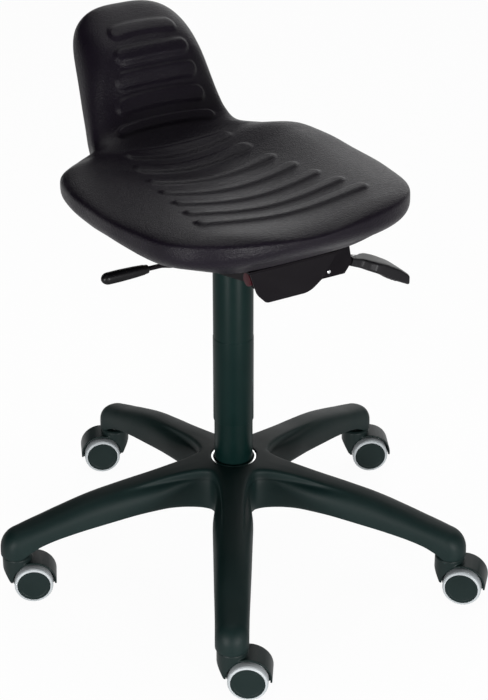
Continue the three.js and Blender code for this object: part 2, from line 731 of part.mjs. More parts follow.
// Height lever: a rod rocking in the housing's side wall, one end over the release pin
const gripShares = [
  [0, 0], [0.71, 0], [0.82, 0.04], [0.93, 0.3], [1, 0.62], [0.97, 0.85], [0.7, 0.96], [0, 1],
];

function makeHeightLever() {
  const gripZ = leverZ + leverCrank;
  const run = [
    [leverNeckEnd - leverBite, gripZ], [leverCrankEnd, gripZ], [leverCrankStart, leverZ],
    [leverInner, leverZ],
  ];
  const rod = loft(run.map(([x, z]) => arcPoints([0, z], leverRadius, 0, 2 * Math.PI, smallSides)
    .slice(1).map(([across, up]) => new THREE.Vector3(x, across, up))));
  addPiece('height_lever_rod', rod, 'pressedSteel');
  const length = leverNeckEnd - leverTip;
  const profile = gripShares.map(([out, along]) => [gripRadius * out, length * along]);
  const grip = toSolid(turned(profile, roundSides));
  const bore = toSolid(solidRod(leverRadius + fitGap, -cutOverrun, leverBite + fitGap, smallSides));
  const placed = grip.subtract(bore).rotate([0, -90, 0]).translate([leverNeckEnd, 0, gripZ]);
  addPiece('height_lever_grip', toGeometry(placed), 'blackPlastic');
}

// Tilt lock: a cross shaft in the wing's lugs with a flat drooping paddle on its outer end
function paddlePlan(length) {
  const shape = new THREE.Shape();
  const edge = paddleHalfWidth;
  const swell = (paddleNeckLength + paddleShoulder) / 2;
  shape.moveTo(0, -paddleNeckHalfWidth);
  shape.lineTo(paddleNeckLength, -paddleNeckHalfWidth);
  shape.quadraticCurveTo(swell, -edge, paddleShoulder, -edge);
  shape.lineTo(length - paddleCorner, -edge);
  shape.quadraticCurveTo(length, -edge, length, -edge + paddleCorner);
  shape.lineTo(length, edge - paddleCorner);
  shape.quadraticCurveTo(length, edge, length - paddleCorner, edge);
  shape.lineTo(paddleShoulder, edge);
  shape.quadraticCurveTo(swell, edge, paddleNeckLength, paddleNeckHalfWidth);
  shape.lineTo(0, paddleNeckHalfWidth);
  return shape;
}

function makeLock() {
  const shaft = rodAlongX(lockRadius, housingHalfWidth + 2 * fitGap, wingEnd + lockOverhang, smallSides);
  shaft.translate(0, lockY, lockZ);
  addPiece('lock_shaft', shaft, 'brightSteel');
  const half = paddleThickness / 2;
  const kneeX = paddleFirstRun * Math.cos(paddleFirstDroop);
  const kneeZ = -paddleFirstRun * Math.sin(paddleFirstDroop);
  const tipX = kneeX + paddleSecondRun * Math.cos(paddleSecondDroop);
  const tipZ = kneeZ - paddleSecondRun * Math.sin(paddleSecondDroop);
  const lean = (paddleFirstDroop + paddleSecondDroop) / 2;
  const side = [
    [0, half], [kneeX + half * Math.sin(lean), kneeZ + half * Math.cos(lean)],
    [tipX + half * Math.sin(paddleSecondDroop), tipZ + half * Math.cos(paddleSecondDroop)],
    [tipX - half * Math.sin(paddleSecondDroop), tipZ - half * Math.cos(paddleSecondDroop)],
    [kneeX - half * Math.sin(lean), kneeZ - half * Math.cos(lean)], [0, -half],
  ];
  const bent = slab(outline(side.reverse()), 2 * paddleHalfWidth);
  bent.rotateX(Math.PI / 2);
  bent.translate(0, paddleHalfWidth, 0);
  const plan = slab(paddlePlan(tipX + half), 2 * (half - tipZ), smallSides / 4);
  plan.translate(0, 0, tipZ - 2 * half + tipZ / 2);
  const bore = toSolid(rodAlongX(lockRadius + fitGap, -cutOverrun, lockOverhang, smallSides));
  const paddle = toSolid(bent).intersect(toSolid(plan)).subtract(bore);
  const placed = paddle.translate([wingEnd + 2 * fitGap, lockY, lockZ]);
  addPiece('lock_paddle', toGeometry(placed), 'blackPlastic');
}

// Seat pad: stations along a path in YZ, each an oval whose upper face is dished and ribbed
const padLength = seatRun + bendRadius * (Math.PI / 2 - backLean + seatFall) + backRun;
const padWidthShares = [
  [0, 0.964], [0.165, 0.954], [0.28, 0.996], [0.38, 1.003], [0.47, 0.998], [0.55, 0.942], [0.585, 0.852],
  [0.615, 0.751], [0.65, 0.583], [0.7, 0.523], [0.78, 0.484], [0.88, 0.448], [1, 0.447],
];
const padFaceShares = [
  [0, 0.429], [0.13, 0.462], [0.35, 0.412], [0.5, 0.555], [0.56, 0.656], [0.61, 0.57], [0.664, 0.685],
  [0.753, 0.981], [0.85, 1.441], [1, 0.968],
];
const padUnderShares = [
  [0, 0.7], [0.16, 1.068], [0.3, 0.915], [0.38, 0.978], [0.5, 0.77], [0.6, 0.727], [0.75, 0.911],
  [0.88, 0.632], [1, 1.067],
];
const padDishShares = [
  [0, 0.278], [0.16, 0.528], [0.38, 0.729], [0.55, 1.158], [0.66, 0.18], [0.8, 0.135], [1, 0.125],
];
const padSquareShares = [[0, 1], [0.5, 0.92], [0.66, 0.68], [0.8, 0.55], [1, 0.48]];
const padRearShares = [[0, 0], [0.6, 0], [0.8, 0.6], [1, 1]];
const ribPlaceShares = [
  [0.139, 0.615], [0.209, 0.573], [0.284, 0.534], [0.36, 0.503], [0.434, 0.47], [0.519, 0.433],
  [0.588, 0.402], [0.671, 0.371], [0.741, 0.332], [0.796, 0.302], [0.851, 0.276], [0.906, 0.248],
];
const ribBowShares = [
  [0, 0.35], [0.139, 0.35], [0.209, 0.52], [0.284, 0.62], [0.36, 0.56], [0.434, -0.08], [0.519, -0.81],
  [0.588, -0.54], [0.671, -0.88], [0.741, -0.5], [0.796, -0.14], [0.851, -0.04], [0.906, -0.44], [1, -0.44],
];
const dishReachShare = 0.8;
const faceAcrossShares = [1, 0.965, 0.87];
const underAcrossShares = [-0.9, -0.5, 0, 0.5, 0.9];
const endRowShares = [0.004, 0.03, 0.08, 0.18, 0.36];

function padPath(along) {
  const bendAngle = Math.PI / 2 - backLean + seatFall;
  const bendLength = bendRadius * bendAngle;
  const seat = Math.min(along, seatRun);
  const turn = THREE.MathUtils.clamp((along - seatRun) / bendLength, 0, 1) * bendAngle;
  const back = Math.max(along - seatRun - bendLength, 0);
  const angle = turn - seatFall;
  let y = padFront + seat * Math.cos(seatFall);
  let z = padFrontHigh - seat * Math.sin(seatFall);
  y += bendRadius * (Math.sin(angle) + Math.sin(seatFall)) + back * Math.cos(angle);
  z += bendRadius * (Math.cos(seatFall) - Math.cos(angle)) + back * Math.sin(angle);
  return { y, z, angle };
}

function roundedEnd(distance, round, squareness) {
  const left = 1 - Math.min(distance / round, 1);
  return (1 - left ** squareness) ** (1 / squareness);
}

function padHalfAt(along) {
  const left = padLength - along;
  const front = roundedEnd(along, padFrontRound, padFrontSquareness);
  const top = roundedEnd(left, padTopRound, padTopSquareness);
  return padHalfWidth * tableValue(padWidthShares, along / padLength) * front * top;
}

function ribReachAt(along) {
  return padHalfWidth * tableValue(ribPlaceShares, along / padLength);
}

// Height of the face above the path, or depth of the underside below it, at a share across
function padRise(along, across, isFace) {
  const share = along / padLength;
  const front = roundedEnd(along, padEdgeRound, 2);
  const top = roundedEnd(padLength - along, isFace ? padTopRoll : padTopUnderRound, 2);
  if (!isFace) {
    const depth = padUnderDepth * tableValue(padUnderShares, share) * front * top;
    const rear = tableValue(padRearShares, share);
    const under = padUnderSquareness + (padRearSquareness - padUnderSquareness) * rear;
    return -depth * (1 - Math.abs(across) ** under) ** (1 / under);
  }
  const square = padFaceSquareness * tableValue(padSquareShares, share);
  const height = padFaceHeight * tableValue(padFaceShares, share) * front * top;
  const hollow = Math.max(1 - (across / dishReachShare) ** 2, 0) ** 2;
  const dish = padDish * tableValue(padDishShares, share) * hollow * front * top;
  return height * (1 - Math.abs(across) ** square) ** (1 / square) - dish;
}

function padPoint(along, across, isFace, lift) {
  const half = padHalfAt(along);
  const reach = Math.min(ribReachAt(along) / half, 1);
  const bend = isFace ? Math.max(1 - (across / reach) ** 2, 0) : 0;
  const bowed = along - ribBow * tableValue(ribBowShares, along / padLength) * bend;
  const middle = padPath(Math.max(bowed, 0));
  const rise = padRise(along, across, isFace) + lift;
  return new THREE.Vector3(
    across * half,
    middle.y - rise * Math.sin(middle.angle),
    middle.z + rise * Math.cos(middle.angle),
  );
}

function padRing(along, ribLift) {
  const reach = Math.min(ribReachAt(along) / padHalfAt(along), dishReachShare);
  const endSlope = ribStep / padHalfWidth;
  const right = [...faceAcrossShares, reach + endSlope, reach - endSlope, reach / 2];
  const faceShares = [...right, 0, ...right.slice().reverse().map((share) => -share)];
  const face = faceShares.map((across) => {
    const isRaised = Math.abs(across) < reach;
    return padPoint(along, across, true, isRaised ? ribLift : 0);
  });
  const under = underAcrossShares.map((across) => padPoint(along, across, false, 0));
  return [...face, ...under].reverse();
}

function padGeometry() {
  const rows = [];
  endRowShares.forEach((share) => rows.push([padFrontRound * share, 0]));
  ribPlaceShares.forEach(([place]) => {
    const middle = place * padLength;
    rows.push([middle - ribHalfWidth - ribStep / 2, 0], [middle - ribHalfWidth + ribStep / 2, ribHeight]);
    rows.push([middle + ribHalfWidth - ribStep / 2, ribHeight], [middle + ribHalfWidth + ribStep / 2, 0]);
  });
  endRowShares.slice(0, -1).reverse().forEach((share) => rows.push([padLength - padTopRound * share, 0]));
  return loft(rows.map(([along, lift]) => padRing(along, lift)));
}

function makeSeat() {
  const pocket = slab(boardOutline(fitGap), boardThickness + 2 * fitGap + cutOverrun, smallSides / 2);
  pocket.translate(0, 0, bracketHigh - cutOverrun);
  addPiece('seat_pad', toGeometry(toSolid(padGeometry()).subtract(toSolid(pocket))), 'foam');
}

makeBase();
makeCastors();
makeColumn();
makeHousing();
makeBracket();
makeHeightLever();
makeLock();
makeSeat();

// The origin is the middle of the bounding box's floor face
stool.updateMatrixWorld(true);
const bounds = new THREE.Box3().setFromObject(stool, true);
const centre = bounds.getCenter(new THREE.Vector3());
stool.position.set(-centre.x, -centre.y, -bounds.min.z);

export default stool;
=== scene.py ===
# A perch stool in a plain studio: foam seat and back, gas spring column, five-armed castor base.
# Sizes are in millimetres from the column's axis on the floor, and become metres in to_row().

import math

import bpy
import bmesh
import numpy as np
from mathutils import Matrix, Vector


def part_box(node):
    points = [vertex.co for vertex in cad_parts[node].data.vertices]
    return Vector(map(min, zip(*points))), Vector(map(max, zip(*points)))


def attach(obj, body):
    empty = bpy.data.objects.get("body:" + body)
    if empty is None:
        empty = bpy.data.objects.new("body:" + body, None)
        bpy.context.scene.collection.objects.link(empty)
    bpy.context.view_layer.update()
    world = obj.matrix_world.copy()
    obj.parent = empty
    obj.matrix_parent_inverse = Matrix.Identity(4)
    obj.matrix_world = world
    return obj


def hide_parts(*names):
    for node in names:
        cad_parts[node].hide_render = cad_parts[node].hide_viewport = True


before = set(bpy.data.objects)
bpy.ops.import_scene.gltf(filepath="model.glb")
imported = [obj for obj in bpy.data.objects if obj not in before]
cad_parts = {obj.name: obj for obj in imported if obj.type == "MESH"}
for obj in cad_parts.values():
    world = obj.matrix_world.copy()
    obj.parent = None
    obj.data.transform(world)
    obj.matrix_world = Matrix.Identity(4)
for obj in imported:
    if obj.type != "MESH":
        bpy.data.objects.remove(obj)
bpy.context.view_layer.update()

pipe_low, pipe_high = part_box("standpipe")
AXIS = np.array([(pipe_low.x + pipe_high.x) / 2, (pipe_low.y + pipe_high.y) / 2, 0.0])


def to_row(points):
    """Millimetres from the column's axis to metres in the frame."""
    return np.asarray(points, float) * 0.001 + AXIS


# ---------------------------------------------------------------- camera

CAMERA_PLACE = [-1114.52, -1939.85, 1483.68]
CAMERA_LOOK = (0.44587, 0.76518, -0.46444)
FOCAL_PIXELS, PICTURE_HIGH, SENSOR = 1974.83, 700.0, 36.0

scene = bpy.context.scene
camera_data = bpy.data.cameras.new("camera")
camera = bpy.data.objects.new("camera", camera_data)
scene.collection.objects.link(camera)
camera.location = Vector(to_row(CAMERA_PLACE))
camera.rotation_euler = Vector(CAMERA_LOOK).to_track_quat("-Z", "Y").to_euler()
camera_data.sensor_width = SENSOR
camera_data.lens = FOCAL_PIXELS * SENSOR / PICTURE_HIGH
camera_data.clip_start = 0.05
camera_data.clip_end = 60.0
scene.camera = camera


# ---------------------------------------------------------------- materials

def new_material(name):
    """A material with its node tree and its shader."""
    material = bpy.data.materials.new(name)
    material.use_nodes = True
    tree = material.node_tree
    shader = tree.nodes["Principled BSDF"]
    return material, tree, shader


def add_node(tree, kind, **values):
    """A node with the given properties or input values set."""
    node = tree.nodes.new(kind)
    for key, value in values.items():
        if hasattr(node, key):
            setattr(node, key, value)
        else:
            node.inputs[key.replace("_", " ")].default_value = value
    return node


def object_place(tree, scale=None, turn=0.0):
    """The object's own coordinates, scaled and turned about Z where scale is given."""
    source = add_node(tree, "ShaderNodeTexCoord").outputs["Object"]
    if scale is None:
        return source
    mapping = add_node(tree, "ShaderNodeMapping", Scale=scale, Rotation=(0.0, 0.0, math.radians(turn)))
    tree.links.new(source, mapping.inputs["Vector"])
    return mapping.outputs["Vector"]


def noise(tree, scale, detail, rough=0.55, stretch=None, turn=0.0):
    texture = add_node(tree, "ShaderNodeTexNoise", Scale=scale, Detail=detail, Roughness=rough)
    tree.links.new(object_place(tree, stretch, turn), texture.inputs["Vector"])
    return texture


def ramp(tree, source, low, high):
    """Spreads a noise over the values from low to high."""
    node = add_node(tree, "ShaderNodeMapRange", From_Min=0.3, From_Max=0.7, To_Min=low, To_Max=high)
    tree.links.new(source, node.inputs["Value"])
    return node.outputs["Result"]


def colour_mix(tree, source, first, second, start=0.35, end=0.65):
    """Runs from the first colour to the second as the source rises from start to end."""
    node = add_node(tree, "ShaderNodeValToRGB")
    node.color_ramp.elements[0].position = start
    node.color_ramp.elements[0].color = (*first, 1.0)
    node.color_ramp.elements[1].position = end
    node.color_ramp.elements[1].color = (*second, 1.0)
    tree.links.new(source, node.inputs["Fac"])
    return node.outputs["Color"]


def bump(tree, shader, sources):
    """Lays (height, strength, distance) bumps over one another."""
    last = None
    for source, strength, distance in sources:
        node = add_node(tree, "ShaderNodeBump", Strength=strength, Distance=distance)
        tree.links.new(source, node.inputs["Height"])
        if last is not None:
            tree.links.new(last, node.inputs["Normal"])
        last = node.outputs["Normal"]
    tree.links.new(last, shader.inputs["Normal"])


def moulded(name, first, second, rough, grain, depth, strength, specular=0.5):
    """Moulded plastic, foam skin or paint: mottled colour, uneven gloss and a fine grain."""
    material, tree, shader = new_material(name)
    broad = noise(tree, 14.0, 3.0)
    fine = noise(tree, grain, 2.0, 0.5)
    tree.links.new(colour_mix(tree, broad.outputs["Fac"], first, second), shader.inputs["Base Color"])
    tree.links.new(ramp(tree, broad.outputs["Fac"], rough[0], rough[1]), shader.inputs["Roughness"])
    shader.inputs["Specular IOR Level"].default_value = specular
    bump(tree, shader, [(fine.outputs["Fac"], strength, depth)])
    return material


def metal(name, first, second, rough):
    """Bare or plated metal: fine drawn lines in the gloss and a faint mottle."""
    material, tree, shader = new_material(name)
    broad = noise(tree, 60.0, 3.0)
    lines = noise(tree, 1.0, 2.0, 0.5, stretch=(40.0, 40.0, 900.0))
    tree.links.new(colour_mix(tree, broad.outputs["Fac"], first, second), shader.inputs["Base Color"])
    tree.links.new(ramp(tree, lines.outputs["Fac"], rough[0], rough[1]), shader.inputs["Roughness"])
    shader.inputs["Metallic"].default_value = 1.0
    bump(tree, shader, [(lines.outputs["Fac"], 0.3, 0.00003)])
    return material


def foam_skin():
    """Self-skinned foam: near black, with a leathery grain of fine creases over small cells."""
    material, tree, shader = new_material("foam_skin")
    broad = noise(tree, 9.0, 3.0)
    cells = add_node(tree, "ShaderNodeTexVoronoi", feature="SMOOTH_F1", Scale=620.0, Smoothness=0.35)
    tree.links.new(object_place(tree, (1.0, 0.55, 1.0), 32), cells.inputs["Vector"])
    creases = noise(tree, 1.0, 3.0, 0.6, stretch=(150.0, 520.0, 420.0), turn=-38)
    tree.links.new(
        colour_mix(tree, broad.outputs["Fac"], (0.0036, 0.0024, 0.005), (0.0056, 0.004, 0.0072)),
        shader.inputs["Base Color"],
    )
    tree.links.new(ramp(tree, creases.outputs["Fac"], 0.36, 0.46), shader.inputs["Roughness"])
    shader.inputs["Specular IOR Level"].default_value = 0.1
    bump(tree, shader, [
        (creases.outputs["Fac"], 0.8, 0.0007),
        (cells.outputs["Distance"], 0.55, 0.00038),
    ])
    return material


def plywood():
    """Layered wood: bands along Z with fine fibres over them."""
    material, tree, shader = new_material("plywood")
    layers = add_node(tree, "ShaderNodeTexWave", wave_type="BANDS", bands_direction="Z",
                      Scale=95.0, Distortion=0.6)
    tree.links.new(object_place(tree), layers.inputs["Vector"])
    fibre = noise(tree, 1.0, 6.0, 0.6, stretch=(320.0, 24.0, 320.0))
    mixed = add_node(tree, "ShaderNodeMath", operation="MULTIPLY_ADD")
    tree.links.new(layers.outputs["Fac"], mixed.inputs[0])
    mixed.inputs[1].default_value = 0.35
    tree.links.new(fibre.outputs["Fac"], mixed.inputs[2])
    tree.links.new(
        colour_mix(tree, mixed.outputs["Value"], (0.2, 0.11, 0.05), (0.42, 0.28, 0.16), 0.4, 0.85),
        shader.inputs["Base Color"],
    )
    tree.links.new(ramp(tree, fibre.outputs["Fac"], 0.6, 0.8), shader.inputs["Roughness"])
    bump(tree, shader, [(fibre.outputs["Fac"], 0.3, 0.0002)])
    return material


FOAM = foam_skin()
PLYWOOD = plywood()
BASE = moulded("base_plastic", (0.0018, 0.0078, 0.0074), (0.0032, 0.01, 0.0095), (0.5, 0.6),
               grain=700.0, depth=0.00022, strength=0.5, specular=0.14)
HOOD = moulded("hood_plastic", (0.0032, 0.008, 0.0077), (0.0046, 0.01, 0.0096), (0.38, 0.48),
               grain=800.0, depth=0.0001, strength=0.35, specular=0.14)
DISC = moulded("wheel_disc_plastic", (0.0034, 0.0082, 0.0078), (0.0048, 0.0104, 0.01), (0.42, 0.52),
               grain=900.0, depth=0.0001, strength=0.3, specular=0.12)
TYRE = moulded("tyre_rubber", (0.25, 0.27, 0.28), (0.31, 0.33, 0.34), (0.42, 0.54),
               grain=600.0, depth=0.0001, strength=0.25)
COLUMN = moulded("column_paint", (0.0008, 0.0068, 0.006), (0.0016, 0.0084, 0.0076), (0.36, 0.4),
                 grain=420.0, depth=0.00008, strength=0.2, specular=0.07)
COVER = moulded("cover_plastic", (0.001, 0.0072, 0.0064), (0.0018, 0.0088, 0.008), (0.36, 0.4),
                grain=480.0, depth=0.00008, strength=0.2, specular=0.07)
GRIP = moulded("black_plastic", (0.0025, 0.0024, 0.0028), (0.0036, 0.0034, 0.004), (0.3, 0.4),
               grain=800.0, depth=0.00008, strength=0.3, specular=0.12)
PADDLE = moulded("paddle_plastic", (0.0042, 0.0038, 0.0048), (0.0058, 0.0054, 0.0064), (0.36, 0.46),
                 grain=650.0, depth=0.00012, strength=0.4, specular=0.14)
PLATE = moulded("powder_coat", (0.0036, 0.0028, 0.0038), (0.005, 0.0042, 0.0054), (0.4, 0.52),
                grain=1100.0, depth=0.00008, strength=0.35, specular=0.03)
RED = moulded("red_plastic", (0.026, 0.0045, 0.007), (0.038, 0.007, 0.01), (0.36, 0.46),
              grain=900.0, depth=0.00006, strength=0.25, specular=0.06)
NATURAL = moulded("bush_plastic", (0.012, 0.012, 0.013), (0.018, 0.018, 0.019), (0.4, 0.5),
                  grain=900.0, depth=0.00005, strength=0.25)
ZINC = metal("zinc", (0.72, 0.73, 0.72), (0.82, 0.83, 0.82), (0.16, 0.28))
STEEL = metal("bright_steel", (0.55, 0.56, 0.57), (0.66, 0.67, 0.68), (0.22, 0.34))


# ---------------------------------------------------------------- mesh helpers

def closed_mesh(name, points, faces, dist):
    """A mesh from points in metres, joined where they meet, with its normals outwards."""
    mesh = bpy.data.meshes.new(name)
    mesh.from_pydata([tuple(p) for p in points], [], [tuple(int(i) for i in f) for f in faces])
    bm = bmesh.new()
    bm.from_mesh(mesh)
    bmesh.ops.remove_doubles(bm, verts=bm.verts, dist=dist)
    bmesh.ops.recalc_face_normals(bm, faces=bm.faces)
    bm.to_mesh(mesh)
    bm.free()
    return mesh


def piece(name, verts, faces, material, body, slot, node, sharp, merge=0.0005):
    """A mesh piece from points in millimetres, in place of a CAD node."""
    mesh = closed_mesh(name, to_row(verts), faces, merge * 0.001)
    return wrap(name, mesh, material, body, node, sharp)


def wrap(name, mesh, material, body, node, sharp, bevel=0.0):
    """Puts a mesh on its body; edges past sharp degrees stay crisp, or are bevelled by bevel."""
    mesh.materials.clear()
    mesh.materials.append(material)
    for polygon in mesh.polygons:
        polygon.use_smooth = True
    obj = bpy.data.objects.new(name, mesh)
    scene.collection.objects.link(obj)
    if bevel > 0.0:
        modifier = obj.modifiers.new("edges", "BEVEL")
        modifier.width = bevel * 0.001
        modifier.segments = 3
        modifier.limit_method = "ANGLE"
        modifier.angle_limit = math.radians(sharp)
        modifier.harden_normals = True
        mesh.set_sharp_from_angle(angle=math.radians(80))
    else:
        mesh.set_sharp_from_angle(angle=math.radians(sharp))
    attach(obj, body)
    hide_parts(node)
    return obj


def grid_faces(rows, columns, close_columns=False):
    """The quads of a grid of points given row by row."""
    faces = []
    wide = columns if close_columns else columns - 1
    for row in range(rows - 1):
        for column in range(wide):
            following = (column + 1) % columns
            faces.append((row * columns + column, row * columns + following,
                          (row + 1) * columns + following, (row + 1) * columns + column))
    return faces


def fillet(points, radius, steps, closed=True):
    """Rounds the corners of a polyline; radius is one number or one for each corner."""
    count = len(points)
    radii = [radius] * count if np.isscalar(radius) else list(radius)
    result = []
    for index in range(count):
        here = np.array(points[index], float)
        if radii[index] <= 0 or (not closed and index in (0, count - 1)):
            result.append(here)
            continue
        before = np.array(points[index - 1], float) - here
        after = np.array(points[(index + 1) % count], float) - here
        span_before, span_after = np.linalg.norm(before), np.linalg.norm(after)
        before, after = before / span_before, after / span_after
        half = math.acos(np.clip(before @ after, -1, 1)) / 2
        if half > math.radians(88.5):
            result.append(here)
            continue
        reach = min(radii[index] / math.tan(half), 0.49 * span_before, 0.49 * span_after)
        round_radius = reach * math.tan(half)
        inwards = (before + after) / np.linalg.norm(before + after)
        middle = here + inwards * (round_radius / math.sin(half))
        start, end = here + before * reach - middle, here + after * reach - middle
        turn = math.atan2(start[0] * end[1] - start[1] * end[0], start @ end)
        for step in range(steps + 1):
            angle = turn * step / steps
            cosine, sine = math.cos(angle), math.sin(angle)
            spun = [cosine * start[0] - sine * start[1], sine * start[0] + cosine * start[1]]
            result.append(middle + np.array(spun))
    return np.array(result)


def lathe(profile, segments):
    """Turns (radius, height) points about Z."""
    profile = np.asarray(profile, float)
    angles = np.linspace(0, 2 * math.pi, segments, endpoint=False)
    verts = np.zeros((len(profile), segments, 3))
    verts[:, :, 0] = profile[:, :1] * np.cos(angles)
    verts[:, :, 1] = profile[:, :1] * np.sin(angles)
    verts[:, :, 2] = profile[:, 1:]
    return verts.reshape(-1, 3), grid_faces(len(profile), segments, True)


def ring_profile(points, radius, steps):
    """A closed profile with rounded corners, for lathe."""
    looped = fillet(points, radius, steps)
    return np.vstack([looped, looped[:1]])


def prism(points, thickness):
    """A closed outline in XY with a thickness along Z."""
    count = len(points)
    low = np.column_stack([points, np.zeros(count)])
    high = np.column_stack([points, np.full(count, float(thickness))])
    faces = [tuple(range(count))[::-1], tuple(range(count, 2 * count))]
    for index in range(count):
        following = (index + 1) % count
        faces.append((index, following, count + following, count + index))
    return np.vstack([low, high]), faces


def tube_faces(rows, columns):
    """The quads of a closed tube of points given ring by ring, and its two end faces."""
    faces = grid_faces(rows, columns, True)
    faces.append(tuple(range(columns))[::-1])
    faces.append(tuple(range((rows - 1) * columns, rows * columns)))
    return faces


def superellipse(around, square):
    """How far out a rounded square is at each angle, where a circle is at 1."""
    return (np.abs(np.cos(around)) ** square + np.abs(np.sin(around)) ** square) ** (-1 / square)


def turned(verts, matrix):
    """The points moved by a 4 x 4 matrix."""
    verts = np.asarray(verts, float)
    matrix = np.array(matrix)
    return verts @ matrix[:3, :3].T + matrix[:3, 3]


def solid_object(verts, faces):
    """A helper solid for combine, from points in millimetres about its own origin."""
    obj = bpy.data.objects.new("tool", closed_mesh("tool", np.asarray(verts) * 0.001, faces, 0.000001))
    scene.collection.objects.link(obj)
    return obj


def combine(target, others, operation):
    """Joins the others to the target or cuts them from it, and removes them."""
    for other in others:
        modifier = target.modifiers.new("cut", "BOOLEAN")
        modifier.operation = operation
        modifier.solver = "EXACT"
        modifier.object = other
    bake(target)
    for other in others:
        mesh = other.data
        bpy.data.objects.remove(other)
        bpy.data.meshes.remove(mesh)


def bake(obj):
    """Applies the object's modifiers."""
    bpy.context.view_layer.update()
    graph = bpy.context.evaluated_depsgraph_get()
    mesh = bpy.data.meshes.new_from_object(obj.evaluated_get(graph))
    old = obj.data
    obj.modifiers.clear()
    obj.data = mesh
    bpy.data.meshes.remove(old)


def box_points(low, high):
    """The points and faces of a box between two corners."""
    (x0, y0, z0), (x1, y1, z1) = low, high
    verts, faces = prism([(x0, y0), (x1, y0), (x1, y1), (x0, y1)], z1 - z0)
    verts[:, 2] += z0
    return verts, faces


def refined(name, node, material, body, bevel, rounds=(), cuts=()):
    """The CAD solid's own shape, with its flat faces whole and its edges eased.

    rounds are corners to round, (x, y, z, radius); cuts are (outline in XZ, first y, last y)."""
    corner_reach = 0.003
    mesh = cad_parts[node].data.copy()
    mesh.name = name
    bm = bmesh.new()
    bm.from_mesh(mesh)
    bmesh.ops.remove_doubles(bm, verts=bm.verts, dist=0.00002)
    bmesh.ops.dissolve_limit(bm, angle_limit=math.radians(1.0), verts=bm.verts, edges=bm.edges)
    for x, y, z, radius in rounds:
        corner = Vector(to_row([x, y, z]))
        edges = [edge for edge in bm.edges
                 if all((vert.co - corner).length < corner_reach for vert in edge.verts)]
        bmesh.ops.bevel(bm, geom=edges, offset=radius * 0.001, segments=6, profile=0.5, affect="EDGES")
    bmesh.ops.recalc_face_normals(bm, faces=bm.faces)
    bm.to_mesh(mesh)
    bm.free()
    if cuts:
        holder = bpy.data.objects.new("holder", mesh)
        scene.collection.objects.link(holder)
        tools = []
        for points, start, end in cuts:
            verts, faces = prism(points, end - start)
            verts = np.column_stack([verts[:, 0], verts[:, 2] + start, verts[:, 1]])
            tools.append(solid_object(to_row(verts) * 1000, faces))
        combine(holder, tools, "DIFFERENCE")
        mesh = holder.data
        bpy.data.objects.remove(holder)
    return wrap(name, mesh, material, body, node, 25.0, bevel)


def keep_node(node, material):
    """Gives a CAD node that stays as it is its material."""
    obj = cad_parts[node]
    for material_slot in obj.material_slots:
        material_slot.material = material


def table_value(table, share):
    """A smooth curve through a table's (place, value) pairs, as in the CAD source."""
    table = np.asarray(table, float)
    places, values = table[:, 0], table[:, 1]
    share = np.clip(np.asarray(share, float), places[0], places[-1])
    row = np.clip(np.searchsorted(places, share, side="left") - 1, 0, len(places) - 2)
    slopes = np.zeros(len(places))
    slopes[1:-1] = (values[2:] - values[:-2]) / (places[2:] - places[:-2])
    span = places[row + 1] - places[row]
    part = (share - places[row]) / span
    cubed, squared = part ** 3, part ** 2
    return ((2 * cubed - 3 * squared + 1) * values[row]
            + (cubed - 2 * squared + part) * span * slopes[row]
            + (3 * squared - 2 * cubed) * values[row + 1]
            + (cubed - squared) * span * slopes[row + 1])


def ease(value):
    """Rises smoothly from 0 to 1 as the value does."""
    value = np.clip(value, 0.0, 1.0)
    return value * value * (3 - 2 * value)


# ---------------------------------------------------------------- base star

LEG_ANGLES = [math.radians(-120.37 + 72 * leg) for leg in range(5)]
HEADINGS = [math.radians(angle) for angle in (-33.57, -43.57, -26.37, 156.43, -25.17)]
CIRCLE = 295.0
TIP_RADIUS = 20.9
ARM_LOW, ARM_HIGH = 61.2, 95.0
SPINE_SHARE = 0.53
# The arm's top, underside and width by the share of the way from the axis to the castor
TOP_TABLE = [(0, 1), (0.12, 1), (0.27, 0.92), (0.41, 0.8), (0.54, 0.67), (0.68, 0.51), (0.81, 0.31),
             (0.9, 0.16), (1, 0.04)]
LOW_TABLE = [(0, 0.8), (0.15, 0.86), (0.2, 0.91), (0.27, 0.97), (0.36, 1), (0.48, 0.95), (0.68, 0.74),
             (0.81, 0.55), (0.9, 0.38), (0.95, 0.2), (1, 0)]
WIDTH_TABLE = [(0, 1), (0.35, 0.9), (0.7, 0.4), (1, 0)]
# Near the hub: (offset share outside the spine's edge, height share) down the side of the arm
HUB_SECTION = [(0, 0.915), (0, 0.88), (0.01, 0.84), (0.05, 0.8), (0.14, 0.775), (0.3, 0.76), (0.5, 0.74),
               (0.68, 0.705), (0.84, 0.64), (0.95, 0.55), (1, 0.44), (1, 0.33), (0.975, 0.21),
               (0.92, 0.11), (0.84, 0.04), (0.7, 0)]
# Further out the section is one smooth arch: its offset shares, and the height shares of its lower wall
ARCH_OFFSETS = [0, 0.1, 0.2, 0.3, 0.42, 0.54, 0.66, 0.76, 0.85, 0.92, 0.97, 1, 1, 1, 0.985, 0.93]
ARCH_WALL = [0.5, 0.12, 0.03, 0]
ARCH_SQUARE = 2.5


def arm_top(reach):
    """Height of the crest near the hub."""
    return ARM_HIGH + 60.0 * table_value(TOP_TABLE, reach / CIRCLE)


def arch_top(reach):
    """Height of the crest further out, which runs on over the rounded tip at its last slope."""
    steady = CIRCLE * 0.93
    slope = (arm_top(steady) - arm_top(CIRCLE * 0.9)) / (CIRCLE * 0.03)
    beyond = arm_top(steady) + slope * (reach - steady)
    return 2.0 + np.where(reach < steady, arm_top(np.minimum(reach, steady)), beyond)


def arm_low(reach):
    """Height of the arm's underside."""
    swell = 1.4 * ease((reach - 60) / 40) * ease((275 - reach) / 40)
    return ARM_LOW + 40.8 * table_value(LOW_TABLE, reach / CIRCLE) + swell


